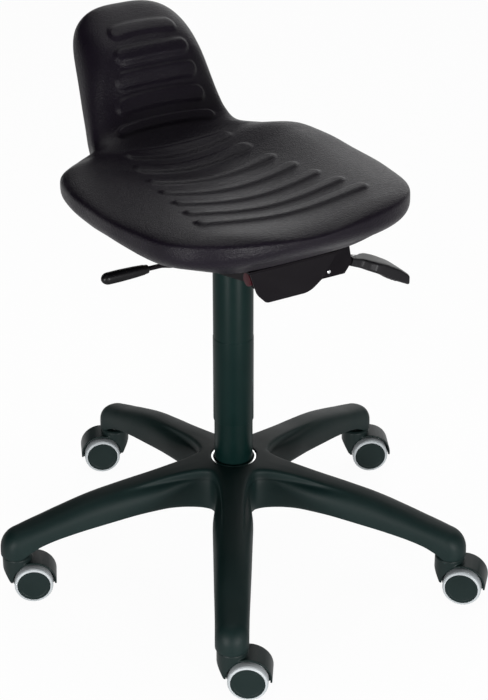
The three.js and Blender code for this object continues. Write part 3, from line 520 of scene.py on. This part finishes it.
def arm_half(reach):
    """Half the arm's width."""
    return TIP_RADIUS + 5.9 * table_value(WIDTH_TABLE, reach / CIRCLE)


def spine_half(reach):
    """Half the width of the arm's flatter top."""
    return arm_half(reach) * SPINE_SHARE


def half_arm():
    """One half of one arm, from the gap's middle to the tip's end, as rows of points around the section."""
    bisector = math.pi / 5
    hub_radius, bore, join = 49.0, 34.5, 118.0
    start = np.array([hub_radius * math.cos(bisector), hub_radius * math.sin(bisector)])
    handles = np.array([start, start + 13.0 * np.array([math.sin(bisector), -math.cos(bisector)]),
                        [82.0, spine_half(82.0) + 0.6], [join, float(spine_half(join))]])
    edge, normal, inner, reach = [], [], [], []
    hub_steps, arm_steps, tip_steps = 22, 56, 14
    for step in range(hub_steps):
        share = step / hub_steps
        weights = np.array([(1 - share) ** 3, 3 * share * (1 - share) ** 2,
                            3 * share ** 2 * (1 - share), share ** 3])
        slope = np.array([-3 * (1 - share) ** 2, 3 * (1 - share) ** 2 - 6 * share * (1 - share),
                          6 * share * (1 - share) - 3 * share ** 2, 3 * share ** 2])
        tangent = slope @ handles
        tangent /= np.linalg.norm(tangent)
        edge.append(weights @ handles)
        normal.append([-tangent[1], tangent[0]])
        sweep = min(share / 0.6, 1.0)
        angle = bisector * (1 - sweep)
        out = bore + (join - bore) * max(share - 0.6, 0.0) / 0.4 * (0.55 + 0.45 * share)
        inner.append([out * math.cos(angle), out * math.sin(angle)])
        reach.append(float(np.hypot(*edge[-1])))
    for step in range(arm_steps + 1):
        x = join + (CIRCLE - join) * step / arm_steps
        edge.append([x, float(spine_half(x))])
        normal.append([0.0, 1.0])
        inner.append([x, 0.0])
        reach.append(x)
    tip_half = float(spine_half(CIRCLE))
    for step in range(1, tip_steps + 1):
        angle = math.pi / 2 * (1 - step / tip_steps)
        normal.append([math.cos(angle), math.sin(angle)])
        edge.append([CIRCLE + tip_half * math.cos(angle), tip_half * math.sin(angle)])
        inner.append([CIRCLE, 0.0])
        reach.append(CIRCLE)
    edge, normal, inner, reach = map(np.array, (edge, normal, inner, reach))

    hubness = 1 - ease((reach - 85.0) / 105.0)
    body = spine_half(reach) / SPINE_SHARE - spine_half(reach)
    spread = 3.0 + (body - 3.0) * ease((reach - 48.0) / 75.0)
    low = arm_low(reach)
    rows = []

    def crest(points):
        return arm_top(np.minimum(np.hypot(points[:, 0], points[:, 1]), CIRCLE))

    def arch(points):
        """Height on the arch: the crest, less a superellipse's drop by the place between axis and side."""
        x, y = points[:, 0], np.abs(points[:, 1])
        away = np.where(x > CIRCLE, np.hypot(x - CIRCLE, y), y)
        aside = np.minimum(away / arm_half(np.minimum(reach, CIRCLE)), 1)
        return arch_top(x) - depth * (1 - (1 - aside ** ARCH_SQUARE) ** (1 / ARCH_SQUARE))

    def blend(hub_height, arch_height):
        return hub_height * hubness + arch_height * (1 - hubness)

    span = crest(edge) - low
    depth = span * (0.8 - 0.16 * ease((reach - 220.0) / 75.0))
    offsets = (np.array(HUB_SECTION)[:, 0][None] * hubness[:, None]
               + np.array(ARCH_OFFSETS)[None] * (1 - hubness)[:, None])
    hub_heights = np.array(HUB_SECTION)[:, 1]
    lip_drop = (1 - hub_heights[0]) * span
    lip_width = 5.0 * hubness + 8.0 * (1 - hubness)
    shoulder = edge - normal * lip_width[:, None]
    for share in (0.0, 0.2, 0.4, 0.6, 0.8, 0.93):
        place = inner * (1 - share) + shoulder * share
        rows.append(np.column_stack([place, blend(crest(place) - 0.35 * share ** 2, arch(place))]))
    for step in range(7):
        angle = math.pi / 2 * step / 7
        place = shoulder + normal * (lip_width * math.sin(angle))[:, None]
        height = crest(place) - 0.4 - (lip_drop - 0.4) * (1 - math.cos(angle))
        rows.append(np.column_stack([place, blend(height, arch(place))]))
    wall = arch_top(reach) - depth - low
    for index, hub_height in enumerate(hub_heights):
        place = edge + normal * (spread * offsets[:, index])[:, None]
        drop = index - (len(hub_heights) - len(ARCH_WALL))
        arched = arch(place) if drop < 0 else low + wall * ARCH_WALL[drop]
        rows.append(np.column_stack([place, blend(low + span * hub_height, arched)]))
    last = rows[-1]
    inner_low = np.column_stack([inner, np.where(np.hypot(*inner.T) < 40.0, 84.0, low)])
    for share in (0.35, 0.7, 1.0):
        rows.append(last * (1 - share) + inner_low * share)
    return np.array(rows)


def make_base():
    """Ten half arms about the axis, and the collar of the hub's bore."""
    half = half_arm()
    count, length = half.shape[:2]
    flat = half.reshape(-1, 3)
    quads = grid_faces(count, length)
    verts, faces = [], []
    for angle in LEG_ANGLES:
        for side in (1.0, -1.0):
            points = flat * np.array([1.0, side, 1.0])
            cosine, sine = math.cos(angle), math.sin(angle)
            spun = np.column_stack([points[:, 0] * cosine - points[:, 1] * sine,
                                    points[:, 0] * sine + points[:, 1] * cosine, points[:, 2]])
            start = len(verts) * len(flat)
            verts.append(spun)
            for quad in quads:
                ordered = quad if side > 0 else quad[::-1]
                faces.append(tuple(start + index for index in ordered))
    verts = np.vstack(verts)
    collar, collar_faces = lathe(fillet(
        [(34.5, 84.0), (30.4, 84.0), (30.4, 155.2), (34.5, 155.0)], [0, 0.6, 1.2, 0], 5, closed=False,
    ), 120)
    faces.extend([tuple(len(verts) + index for index in face) for face in collar_faces])
    verts = np.vstack([verts, collar])
    piece("star", verts, faces, BASE, "base", "base_plastic", "base_star", sharp=50.0, merge=0.02)


make_base()

sleeve = ring_profile([(25.3, 84.0), (30.1, 84.0), (30.1, 153.8), (27.2, 153.8), (25.3, 151.6)],
                      [0.3, 0.5, 0.9, 1.2, 0.4], 5)
piece("sleeve", *lathe(sleeve, 128), ZINC, "base", "zinc", "hub_sleeve", sharp=60.0)

# ---------------------------------------------------------------- column

lower = ring_profile([(5.3, 80.0), (25.0, 80.0), (25.0, 338.0), (23.5, 338.0), (23.5, 84.0), (5.3, 84.0)],
                     0.4, 3)
piece("tube_lower", *lathe(lower, 128), COLUMN, "base", "column_paint", "standpipe", sharp=50.0)
cover = ring_profile([(25.35, 212.0), (26.25, 212.0), (26.25, 331.2), (25.85, 332.0), (25.85, 442.7),
                      (20.9, 442.7), (20.9, 440.0), (25.35, 440.0)],
                     [0.25, 0.5, 0.3, 0.3, 0.8, 0.3, 0.3, 0.3], 4)
piece("tube_cover", *lathe(cover, 128), COVER, "column", "cover_plastic", "cover_tube", sharp=50.0)
for node, material in (
    ("guide_bush", NATURAL), ("piston_rod", STEEL), ("thrust_bearing", STEEL), ("rod_clip", ZINC),
    ("gas_cylinder", COLUMN), ("release_pin", STEEL), ("tilt_pivot_shaft", STEEL), ("lock_shaft", STEEL),
):
    keep_node(node, material)

# ---------------------------------------------------------------- castors

TRAIL = 20.3
WHEEL = 25.0


def along_y(verts):
    """Lays a shape turned about Z on its side at the axle."""
    return turned(verts, Matrix.Translation((TRAIL, 0, WHEEL)) @ Matrix.Rotation(math.pi / 2, 4, "X"))


def hood_mesh():
    """One castor's hood: a neck under the arm, a shell over the wheels and a web between them."""
    clear, outer, shell_wide, neck_high = 27.0, 29.5, 35.0, 60.9
    upper = [(outer * math.cos(a), outer * math.sin(a)) for a in np.linspace(-0.11, math.pi, 51)]
    lower = [(clear * math.cos(a), clear * math.sin(a)) for a in np.linspace(math.pi, -0.11, 51)]
    shell, shell_faces = prism(upper + lower, shell_wide)
    shell[:, 2] -= shell_wide / 2
    shell = along_y(shell)
    neck = solid_object(*lathe([(0, 25.0), (19.0, 25.0), (19.0, 58.4), (17.0, neck_high),
                                (0, neck_high)], 72))
    space_verts, space_faces = lathe([(0, -28), (clear, -28), (clear, 28), (0, 28)], 72)
    space = solid_object(along_y(space_verts), space_faces)
    middle = solid_object(*box_points((-21, -5.5, 23.0), (TRAIL + outer, 5.5, neck_high)))
    combine(space, [middle], "DIFFERENCE")
    web_verts, web_faces = lathe([(0, -5.5), (clear + 1.2, -5.5), (clear + 1.2, 5.5), (0, 5.5)], 72)
    web = solid_object(along_y(web_verts), web_faces)
    combine(web, [solid_object(*box_points((-21, -8, -30), (TRAIL + 32, 8, 16.0)))], "DIFFERENCE")
    tip_verts, tip_faces = box_points((-18.4, -27.6, -18.4), (18.4, 27.6, 18.4))
    tip_place = Matrix.Translation((-27.6, 0, WHEEL - 6.13)) @ Matrix.Rotation(math.radians(-28), 4, "Y")
    tip_verts = turned(tip_verts, tip_place)
    combine(neck, [space, solid_object(tip_verts, tip_faces)], "DIFFERENCE")
    combine(neck, [solid_object(shell, shell_faces), web], "UNION")
    bore_verts, bore_faces = lathe([(0, -28), (3.3, -28), (3.3, 28), (0, 28)], 24)
    stem = solid_object(*lathe([(0, 44.0), (5.8, 44.0), (5.8, 64), (0, 64)], 32))
    combine(neck, [solid_object(along_y(bore_verts), bore_faces), stem], "DIFFERENCE")
    remesh = neck.modifiers.new("skin", "REMESH")
    remesh.mode = "VOXEL"
    remesh.voxel_size = 0.00075
    smooth = neck.modifiers.new("soften", "SMOOTH")
    smooth.factor = 0.5
    smooth.iterations = 5
    fewer = neck.modifiers.new("fewer", "DECIMATE")
    fewer.ratio = 0.22
    bake(neck)
    mesh = neck.data
    bpy.data.objects.remove(neck)
    return mesh


HOOD_MESH = hood_mesh()


def wheel_profile():
    """The disc and its blind bore; it has rings of points across its face, so that it shades evenly."""
    return fillet([(0, 22.1), (3.3, 22.1), (3.3, 6.7), (21.1, 6.7), (21.1, 25.2), (20.4, 25.8),
                   (17.6, 25.8), (17.0, 25.5), (15.5, 25.45), (12.0, 25.42), (8.0, 25.4), (4.0, 25.39),
                   (1.5, 25.385), (0, 25.385)],
                  [0, 0.1, 0.2, 0.3, 0.4, 0.4, 0.3, 0.3, 0, 0, 0, 0, 0, 0], 4, closed=False)


def tyre_profile():
    return ring_profile([(21.4, 7.3), (25.0, 7.3), (25.0, 22.6), (24.3, 24.6), (22.6, 25.5),
                         (21.4, 25.5)], [0.4, 1.4, 2.2, 1.8, 0.9, 0.3], 5)


for index, (leg, heading) in enumerate(zip(LEG_ANGLES, HEADINGS)):
    label = f"castor_{index + 1}"
    stem = Matrix.Translation((CIRCLE * math.cos(leg), CIRCLE * math.sin(leg), 0))
    place = stem @ Matrix.Rotation(heading, 4, "Z")
    hood = HOOD_MESH.copy()
    hood.transform(Matrix.Translation(Vector(AXIS)) @ Matrix.Translation(place.to_translation() * 0.001)
                   @ place.to_3x3().to_4x4())
    wrap(f"hood_{index + 1}", hood, HOOD, label, f"{label}_hood", sharp=60.0)
    for side, flip in (("left", -1), ("right", 1)):
        lay = place @ Matrix.Translation((TRAIL, 0, WHEEL)) @ Matrix.Rotation(flip * math.pi / 2, 4, "X")
        verts, faces = lathe(wheel_profile(), 72)
        piece(f"wheel_{index + 1}_{side}", turned(verts, lay), faces, DISC, f"{label}_{side}",
              "wheel_plastic", f"{label}_wheel_{side}", sharp=45.0)
        verts, faces = lathe(tyre_profile(), 80)
        piece(f"tyre_{index + 1}_{side}", turned(verts, lay), faces, TYRE, f"{label}_{side}",
              "tyre", f"{label}_tyre_{side}", sharp=60.0)
    keep_node(f"{label}_stem", STEEL)
    keep_node(f"{label}_axle", STEEL)
bpy.data.meshes.remove(HOOD_MESH)

# ---------------------------------------------------------------- under the seat

refined("housing", "tilt_housing", PLATE, "column", 0.6)
WING_CUT = [(85.0, 495.0), (85.0, 489.6), (94.0, 487.2), (103.5, 482.2), (108.6, 476.6), (112.0, 470.0),
            (112.0, 495.0)]
refined("bracket", "seat_bracket", PLATE, "seat", 0.5,
        rounds=[(-30.5, -131.5, 441.7, 4.0), (30.5, -131.5, 441.7, 9.0), (-45, -135.0, 456.7, 4.0)],
        cuts=[(WING_CUT, -103.0, -97.0)])
refined("board", "seat_board", PLYWOOD, "seat", 0.6)

cap_points = fillet([(0, 0), (8.5, 0), (8.5, 5.0), (0, 5.0)], [0, 1.0, 0.5, 0], 5, closed=False)
cap_verts, cap_faces = lathe(cap_points, 64)
cap_place = Matrix.Translation((-53.4, -125, 475)) @ Matrix.Rotation(math.pi / 2, 4, "Y")
piece("tilt_cap", turned(cap_verts, cap_place), cap_faces, RED, "column", "red_plastic", "pivot_cap",
      sharp=40.0)

rivet_points = fillet([(0, -2.5), (1.3, -2.5), (1.3, 1.55), (2.6, 1.55), (2.5, 2.3), (1.5, 2.85),
                       (0, 2.95)], [0, 0.2, 0, 0.2, 0.6, 0.8, 0], 4, closed=False)
rivet_verts, rivet_faces = lathe(rivet_points, 32)
rivet_place = Matrix.Translation((77, -100, 444.5)) @ Matrix.Rotation(math.pi / 2, 4, "X")
piece("rivet", turned(rivet_verts, rivet_place), rivet_faces, STEEL, "seat", "bright_steel", "wing_rivet",
      sharp=60.0)

# Screws with a hexagon socket: the points of the socket's round are drawn onto the hexagon
SCREW = fillet([(0, 487.9), (2.6, 487.9), (2.9, 485.4), (5.5, 485.4), (6.5, 487.0), (6.5, 490.4),
                (4.0, 490.4), (4.0, 501.0), (0, 501.0)],
               [0, 0.1, 0.2, 0.8, 0.8, 0.2, 0, 0.3, 0], 3, closed=False)
for index, (x, y) in enumerate(((-54, -82), (54, -82), (-54, 60), (54, 60))):
    verts, faces = lathe(SCREW, 48)
    inner = (np.hypot(verts[:, 0], verts[:, 1]) < 3.0) & (verts[:, 2] < 489)
    around = np.arctan2(verts[:, 1], verts[:, 0])
    hexed = math.cos(math.pi / 6) / np.cos((around + math.pi / 6) % (math.pi / 3) - math.pi / 6)
    verts[inner, :2] *= hexed[inner, None]
    piece(f"screw_{index + 1}", verts + np.array([x, y, 0]), faces, ZINC, "seat", "zinc",
          f"seat_screw_{index + 1}", sharp=40.0)

# ---------------------------------------------------------------- height lever

ROD_HIGH, GRIP_HIGH = 450.3, 453.8


def make_rod():
    """A round rod from over the release pin, cranked upwards just before the grip."""
    along = np.concatenate([[-158.0, -157.6], np.linspace(-157, -106, 12), np.linspace(-104, -84, 21),
                            np.linspace(-82, 7, 16), [7.6, 8.0]])
    high = ROD_HIGH + (GRIP_HIGH - ROD_HIGH) * ease((-84.0 - along) / 20.0)
    radius = np.full(len(along), 3.0)
    radius[[0, -1]], radius[[1, -2]] = 2.3, 2.85
    count = 40
    around = np.linspace(0, 2 * math.pi, count, endpoint=False)
    verts = np.zeros((len(along), count, 3))
    verts[:, :, 0] = along[:, None]
    verts[:, :, 1] = radius[:, None] * np.cos(around)
    verts[:, :, 2] = high[:, None] + radius[:, None] * np.sin(around)
    piece("lever_rod", verts.reshape(-1, 3), tube_faces(len(along), count), PLATE, "height_lever",
          "pressed_steel", "height_lever_rod", sharp=50.0)


make_rod()


def make_grip():
    """A slim hand grip: narrow collar, swelling body a little deeper than wide, and a rounded end."""
    length, end_length = 63.0, 8.0
    end = length - end_length * (1 - np.sin(np.linspace(0.05, math.pi / 2, 22)))
    along = np.concatenate([[0, 0.4, 1.2], np.linspace(2, 55, 40), end])
    radius = 7.4 * np.interp(along / length, [0, 0.01, 0.045, 0.08, 0.3, 0.62, 0.85, 1.0],
                             [0.66, 0.71, 0.74, 0.82, 0.93, 1, 0.985, 0.9])
    closing = np.clip((length - along) / end_length, 0, 1)
    radius *= np.sqrt(np.clip(1 - (1 - closing) ** 2, 0, 1))
    groove = 0.45 * np.exp(-((along - 4.2) / 0.7) ** 2)
    radius = np.maximum(radius - groove, 0)
    count = 64
    around = np.linspace(0, 2 * math.pi, count, endpoint=False)
    shape = superellipse(around, 2.5)
    verts = np.zeros((len(along), count, 3))
    verts[:, :, 0] = radius[:, None] * shape * np.cos(around)
    verts[:, :, 1] = radius[:, None] * shape * np.sin(around) * 0.96
    verts[:, :, 2] = along[:, None]
    lay = Matrix.Translation((-120, 0, GRIP_HIGH)) @ Matrix.Rotation(-math.pi / 2, 4, "Y")
    piece("lever_grip", turned(verts.reshape(-1, 3), lay), tube_faces(len(along), count), GRIP,
          "height_lever", "black_plastic", "height_lever_grip", sharp=50.0)


make_grip()

# ---------------------------------------------------------------- tilt lock paddle


def make_paddle():
    """A flat paddle that droops outwards, with an upright end and finger ridges under its edge."""
    first, second, length = math.radians(22), math.radians(30), 91.0
    ridge_start, ridge_end, ridge_pitch = 48, 76, 5.6
    runs = np.concatenate([np.linspace(0, 30, 16), np.linspace(32, 50, 14), np.linspace(50.6, length, 72)])
    bend = first + (second - first) * ease((runs - 28) / 24)
    steps = np.diff(runs, prepend=0.0)
    x = np.cumsum(steps * np.cos(bend))
    z = -np.cumsum(steps * np.sin(bend))
    half = np.interp(x, [0, 12, 16, 22, 30, 36], [9.0, 9.0, 9.6, 15.0, 19.4, 20.0])
    thick = np.interp(runs, [0, 10, 30, 50, 80, length], [5.6, 6.0, 7.2, 8.4, 8.4, 8.2])
    lift = 1.2 * ease(runs / 40)
    closing = np.clip((length - runs) / 4.0, 0, 1)
    corner = np.sqrt(np.clip(1 - (1 - closing) ** 2, 0.0, 1))
    upright = ease((runs - 66.0) / (length - 66.0))
    half = half - 3.6 * (1 - corner)
    count = 64
    around = np.linspace(0, 2 * math.pi, count, endpoint=False)
    shape = superellipse(around, 5.5)
    verts = np.zeros((len(runs), count, 3))
    for row in range(len(runs)):
        closed = 0.62 + 0.38 * corner[row]
        up = thick[row] * closed * shape * np.sin(around)
        below = np.clip(-np.sin(around), 0, 1) ** 0.5
        if ridge_start < runs[row] < ridge_end:
            into = runs[row] - ridge_start
            wave = 0.5 - 0.5 * math.cos(into / ridge_pitch * 2 * math.pi)
            fade = math.sin(math.pi * into / (ridge_end - ridge_start)) ** 0.5
            up = up - 1.1 * below * (1 - wave) * fade
        up = up - 1.6 * below * upright[row]
        verts[row, :, 0] = x[row] + up * math.sin(bend[row]) * (1 - upright[row])
        verts[row, :, 1] = half[row] * shape * np.cos(around)
        verts[row, :, 2] = z[row] + lift[row] + up * math.cos(bend[row])
    root = np.array([111.1, -93.0, 449.0])
    piece("paddle", verts.reshape(-1, 3) + root, tube_faces(len(runs), count), PADDLE, "lock_lever",
          "black_plastic", "lock_paddle", sharp=45.0)


make_paddle()

# ---------------------------------------------------------------- seat pad

PAD_FRONT, PAD_FRONT_HIGH = -197.9, 544.3
SEAT_FALL, BACK_LEAN = math.radians(2.61), math.radians(37.27)
BEND_RADIUS, SEAT_RUN, BACK_RUN, PAD_HALF = 73.1, 340.3, 161.0, 189.5
BEND = math.pi / 2 - BACK_LEAN + SEAT_FALL
PAD_LENGTH = SEAT_RUN + BEND_RADIUS * BEND + BACK_RUN
# By the share of the pad's length from the front: half width, height of the face, depth of the underside,
# depth of the dish, squareness of the face and roundness of the back
PAD_WIDTHS = [(0, 0.964), (0.165, 0.954), (0.28, 0.996), (0.38, 1.003), (0.47, 0.998), (0.55, 0.942),
              (0.585, 0.852), (0.615, 0.751), (0.65, 0.583), (0.7, 0.523), (0.78, 0.484), (0.88, 0.448),
              (1, 0.447)]
PAD_FACE = [(0, 0.429), (0.13, 0.462), (0.35, 0.412), (0.5, 0.555), (0.56, 0.656), (0.61, 0.57),
            (0.664, 0.685), (0.753, 0.981), (0.85, 1.441), (1, 0.968)]
PAD_UNDER = [(0, 0.7), (0.16, 1.068), (0.3, 0.915), (0.38, 0.978), (0.5, 0.77), (0.6, 0.727),
             (0.75, 0.911), (0.88, 0.632), (1, 1.067)]
PAD_DISH = [(0, 0.278), (0.16, 0.528), (0.38, 0.729), (0.55, 1.158), (0.66, 0.18), (0.8, 0.135),
            (1, 0.125)]
PAD_SQUARE = [(0, 1), (0.5, 0.92), (0.66, 0.68), (0.8, 0.55), (1, 0.48)]
PAD_REAR = [(0, 0), (0.6, 0), (0.8, 0.6), (1, 1)]
# Each rib's place along the path, its reach to either side and how far its middle bows forward
RIBS = [(0.1386, 0.6148, 3.5), (0.2092, 0.5734, 5.2), (0.284, 0.5336, 6.2), (0.3596, 0.5032, 5.6),
        (0.4342, 0.4697, -0.8), (0.5186, 0.4333, -8.1), (0.5876, 0.4022, -5.4), (0.6712, 0.3713, -8.8),
        (0.7411, 0.3317, -5.0), (0.7962, 0.3019, -1.4), (0.8506, 0.2755, -0.4), (0.906, 0.2478, -4.4)]
RIB_HALF, RIB_HIGH, RIB_SOFT = 10.0, 3.8, 3.2


def pad_path(along):
    """Place and lean of the pad's middle line: a straight seat, a bend and a straight back."""
    seat = np.minimum(along, SEAT_RUN)
    turn = np.clip((along - SEAT_RUN) / (BEND_RADIUS * BEND), 0, 1) * BEND
    back = np.maximum(along - SEAT_RUN - BEND_RADIUS * BEND, 0)
    angle = turn - SEAT_FALL
    y = PAD_FRONT + seat * math.cos(SEAT_FALL)
    z = PAD_FRONT_HIGH - seat * math.sin(SEAT_FALL)
    y = y + BEND_RADIUS * (np.sin(angle) + math.sin(SEAT_FALL)) + back * np.cos(angle)
    z = z + BEND_RADIUS * (math.cos(SEAT_FALL) - np.cos(angle)) + back * np.sin(angle)
    return y, z, angle


def rounded_end(distance, size, square):
    """Rises from 0 at the end to 1 at size, as a superellipse."""
    left = 1 - np.minimum(distance / size, 1)
    return np.maximum(1 - left ** square, 0) ** (1 / square)


def pad_half(along):
    """Half the pad's width."""
    return (PAD_HALF * table_value(PAD_WIDTHS, along / PAD_LENGTH) * rounded_end(along, 128.0, 2.67)
            * rounded_end(PAD_LENGTH - along, 103.2, 2.94))


def rib_lift(along, x):
    """How far the ribs stand out at each point."""
    lift = np.zeros_like(x)
    for place, reach, bow in RIBS:
        reach = reach * PAD_HALF
        middle = place * PAD_LENGTH - bow * np.maximum(1 - (x / reach) ** 2, 0)
        beyond = np.maximum(np.abs(x) - (reach - RIB_HALF), 0)
        distance = np.hypot(along - middle, beyond)
        side = ease((RIB_HALF + RIB_SOFT - distance) / (2 * RIB_SOFT))
        crown = 1 - 0.18 * np.minimum(distance / RIB_HALF, 1) ** 2
        lift = np.maximum(lift, RIB_HIGH * side * crown)
    return lift


def make_pad():
    """Stations along the path; across each, an oval whose upper face is dished, with raised ribs."""
    ends = np.linspace(0, 1, 44)[1:] ** 2 * 60.0
    along = np.concatenate([[0.0], ends, np.arange(62.0, PAD_LENGTH - 60.0, 1.9),
                            PAD_LENGTH - ends[::-1], [PAD_LENGTH]])
    edge = 1 - np.linspace(0, 1, 26) ** 2.2 * 0.3
    face_right = np.concatenate([edge, np.linspace(0.7, 0, 62)[1:]])
    face = np.concatenate([face_right, -face_right[::-1][1:]])
    under = -np.sin(np.linspace(-math.pi / 2, math.pi / 2, 62))[1:-1][::-1]
    share = along / PAD_LENGTH
    half = pad_half(along)
    y0, z0, angle = pad_path(along)
    front_face = rounded_end(along, 40.2, 2)
    top_face = rounded_end(PAD_LENGTH - along, 72.0, 2)
    top_under = rounded_end(PAD_LENGTH - along, 26.0, 2)

    def placed(x, rise):
        """Points x across and rise out from the middle line."""
        return np.stack([x, y0[:, None] - rise * np.sin(angle)[:, None],
                         z0[:, None] + rise * np.cos(angle)[:, None]], -1)

    across = np.broadcast_to(face, (len(along), len(face)))
    ends_face = (front_face * top_face)[:, None]
    square = 5.0 * table_value(PAD_SQUARE, share)[:, None]
    height = 40.0 * table_value(PAD_FACE, share)[:, None] * ends_face
    hollow = np.maximum(1 - (across / 0.8) ** 2, 0) ** 2
    dish = 25.0 * table_value(PAD_DISH, share)[:, None] * hollow * ends_face
    rise = height * np.maximum(1 - np.abs(across) ** square, 0) ** (1 / square) - dish
    x = across * half[:, None]
    rise = rise + rib_lift(np.broadcast_to(along[:, None], x.shape), x)
    face_points = placed(x, rise)

    across = np.broadcast_to(under, (len(along), len(under)))
    square = 2.8 + (2.0 - 2.8) * table_value(PAD_REAR, share)[:, None]
    depth = 40.0 * table_value(PAD_UNDER, share)[:, None] * (front_face * top_under)[:, None]
    fullness = np.maximum(1 - np.abs(across) ** square, 0) ** (1 / square)
    x = across * half[:, None]
    # A lip that hangs under the front, most in the middle
    lip = 9.6 * ease((along - 30.0) / 22.8) * ease((83.5 - along) / 30.0)
    drop = -(depth + lip[:, None] * ease((146.0 - np.abs(x)) / 72.4)) * fullness

    verts = np.concatenate([face_points, placed(x, drop)], 1)
    faces = grid_faces(len(along), verts.shape[1], True)
    pad = piece("seat_foam", verts.reshape(-1, 3), faces, FOAM, "seat", "foam", "seat_pad",
                sharp=80.0, merge=0.01)


make_pad()

# ---------------------------------------------------------------- floor, lights and world


def seen_ray(tree):
    """1 for rays that look at the backdrop: camera, glossy and transmission rays."""
    path = add_node(tree, "ShaderNodeLightPath")
    seen = path.outputs["Is Camera Ray"]
    for kind in ("Is Glossy Ray", "Is Transmission Ray"):
        either = add_node(tree, "ShaderNodeMath", operation="MAXIMUM")
        tree.links.new(seen, either.inputs[0])
        tree.links.new(path.outputs[kind], either.inputs[1])
        seen = either.outputs["Value"]
    return seen


def make_floor():
    """A pale floor that takes the shadow, and that seen rays find near white."""
    mesh = bpy.data.meshes.new("floor")
    bm = bmesh.new()
    bmesh.ops.create_circle(bm, cap_ends=True, segments=64, radius=14.0)
    bm.to_mesh(mesh)
    bm.free()
    obj = bpy.data.objects.new("floor", mesh)
    scene.collection.objects.link(obj)
    obj.location = (0, 0, -0.0002)
    material, tree, shader = new_material("pale_floor")
    shader.inputs["Base Color"].default_value = (0.86, 0.86, 0.86, 1)
    shader.inputs["Roughness"].default_value = 0.9
    shader.inputs["Specular IOR Level"].default_value = 0.1
    glow = add_node(tree, "ShaderNodeEmission", Strength=1.0, Color=(1, 1, 1, 1))
    share = add_node(tree, "ShaderNodeMath", operation="MULTIPLY")
    share.inputs[1].default_value = 0.96
    tree.links.new(seen_ray(tree), share.inputs[0])
    mix = add_node(tree, "ShaderNodeMixShader")
    tree.links.new(share.outputs["Value"], mix.inputs["Fac"])
    tree.links.new(shader.outputs["BSDF"], mix.inputs[1])
    tree.links.new(glow.outputs["Emission"], mix.inputs[2])
    tree.links.new(mix.outputs["Shader"], tree.nodes["Material Output"].inputs["Surface"])
    mesh.materials.append(material)


make_floor()


def area_light(name, location, target, size, power):
    """A soft rectangular light that the camera doesn't see; location and target are in metres."""
    data = bpy.data.lights.new(name, "AREA")
    data.shape = "RECTANGLE"
    data.size, data.size_y = size
    data.energy = power
    obj = bpy.data.objects.new(name, data)
    scene.collection.objects.link(obj)
    obj.location = location
    obj.rotation_euler = (Vector(target) - Vector(location)).to_track_quat("-Z", "Y").to_euler()
    obj.visible_camera = False


area_light("overhead", (0.1, 0.3, 2.6), (0, 0, 0.4), (1.7, 1.7), 30.0)
area_light("strip_left", (-2.08, -1.19, 0.22), (0, 0, 0.22), (0.22, 0.4), 46.0)
area_light("strip_right", (-0.01, -2.4, 0.22), (0, 0, 0.22), (0.22, 0.4), 54.0)

world = bpy.data.worlds.new("studio")
scene.world = world
world.use_nodes = True
tree = world.node_tree
background = tree.nodes["Background"]
place = add_node(tree, "ShaderNodeTexCoord")
split = add_node(tree, "ShaderNodeSeparateXYZ")
tree.links.new(place.outputs["Generated"], split.inputs["Vector"])


def by_direction(source, start, end, low, high):
    """Runs smoothly from low to high as the source rises from start to end."""
    node = add_node(tree, "ShaderNodeMapRange", interpolation_type="SMOOTHSTEP",
                    From_Min=start, From_Max=end, To_Min=low, To_Max=high)
    tree.links.new(source, node.inputs["Value"])
    return node.outputs["Result"]


# Soft panels round the stool: elevation and turn in degrees, and strength; each fades out by its cosine
PANELS = [(23, 44, 2.0), (30, 215, 0.7), (15, 315, 0.8)]
PANEL_EDGE, PANEL_CORE = 0.788, 0.990
# A white band at the horizon, which only seen rays find
total = by_direction(split.outputs["Z"], 0.0, 0.06, 1.0, 0.0)
band = add_node(tree, "ShaderNodeMath", operation="MULTIPLY")
tree.links.new(total, band.inputs[0])
tree.links.new(seen_ray(tree), band.inputs[1])
total = band.outputs["Value"]
for rise, turn, strength in PANELS:
    rise, turn = math.radians(rise), math.radians(turn)
    level = math.cos(rise)
    panel = add_node(tree, "ShaderNodeVectorMath", operation="DOT_PRODUCT")
    tree.links.new(place.outputs["Generated"], panel.inputs[0])
    panel.inputs[1].default_value = (level * math.cos(turn), level * math.sin(turn), math.sin(rise))
    added = add_node(tree, "ShaderNodeMath", operation="ADD")
    tree.links.new(total, added.inputs[0])
    glow = by_direction(panel.outputs["Value"], PANEL_EDGE, PANEL_CORE, 0.0, strength)
    tree.links.new(glow, added.inputs[1])
    total = added.outputs["Value"]
path = add_node(tree, "ShaderNodeLightPath")
chosen = add_node(tree, "ShaderNodeMix")
tree.links.new(path.outputs["Is Camera Ray"], chosen.inputs["Factor"])
tree.links.new(total, chosen.inputs["A"])
chosen.inputs["B"].default_value = 1.0
tree.links.new(chosen.outputs["Result"], background.inputs["Strength"])
background.inputs["Color"].default_value = (1, 1, 1, 1)

scene.view_settings.view_transform = "Standard"
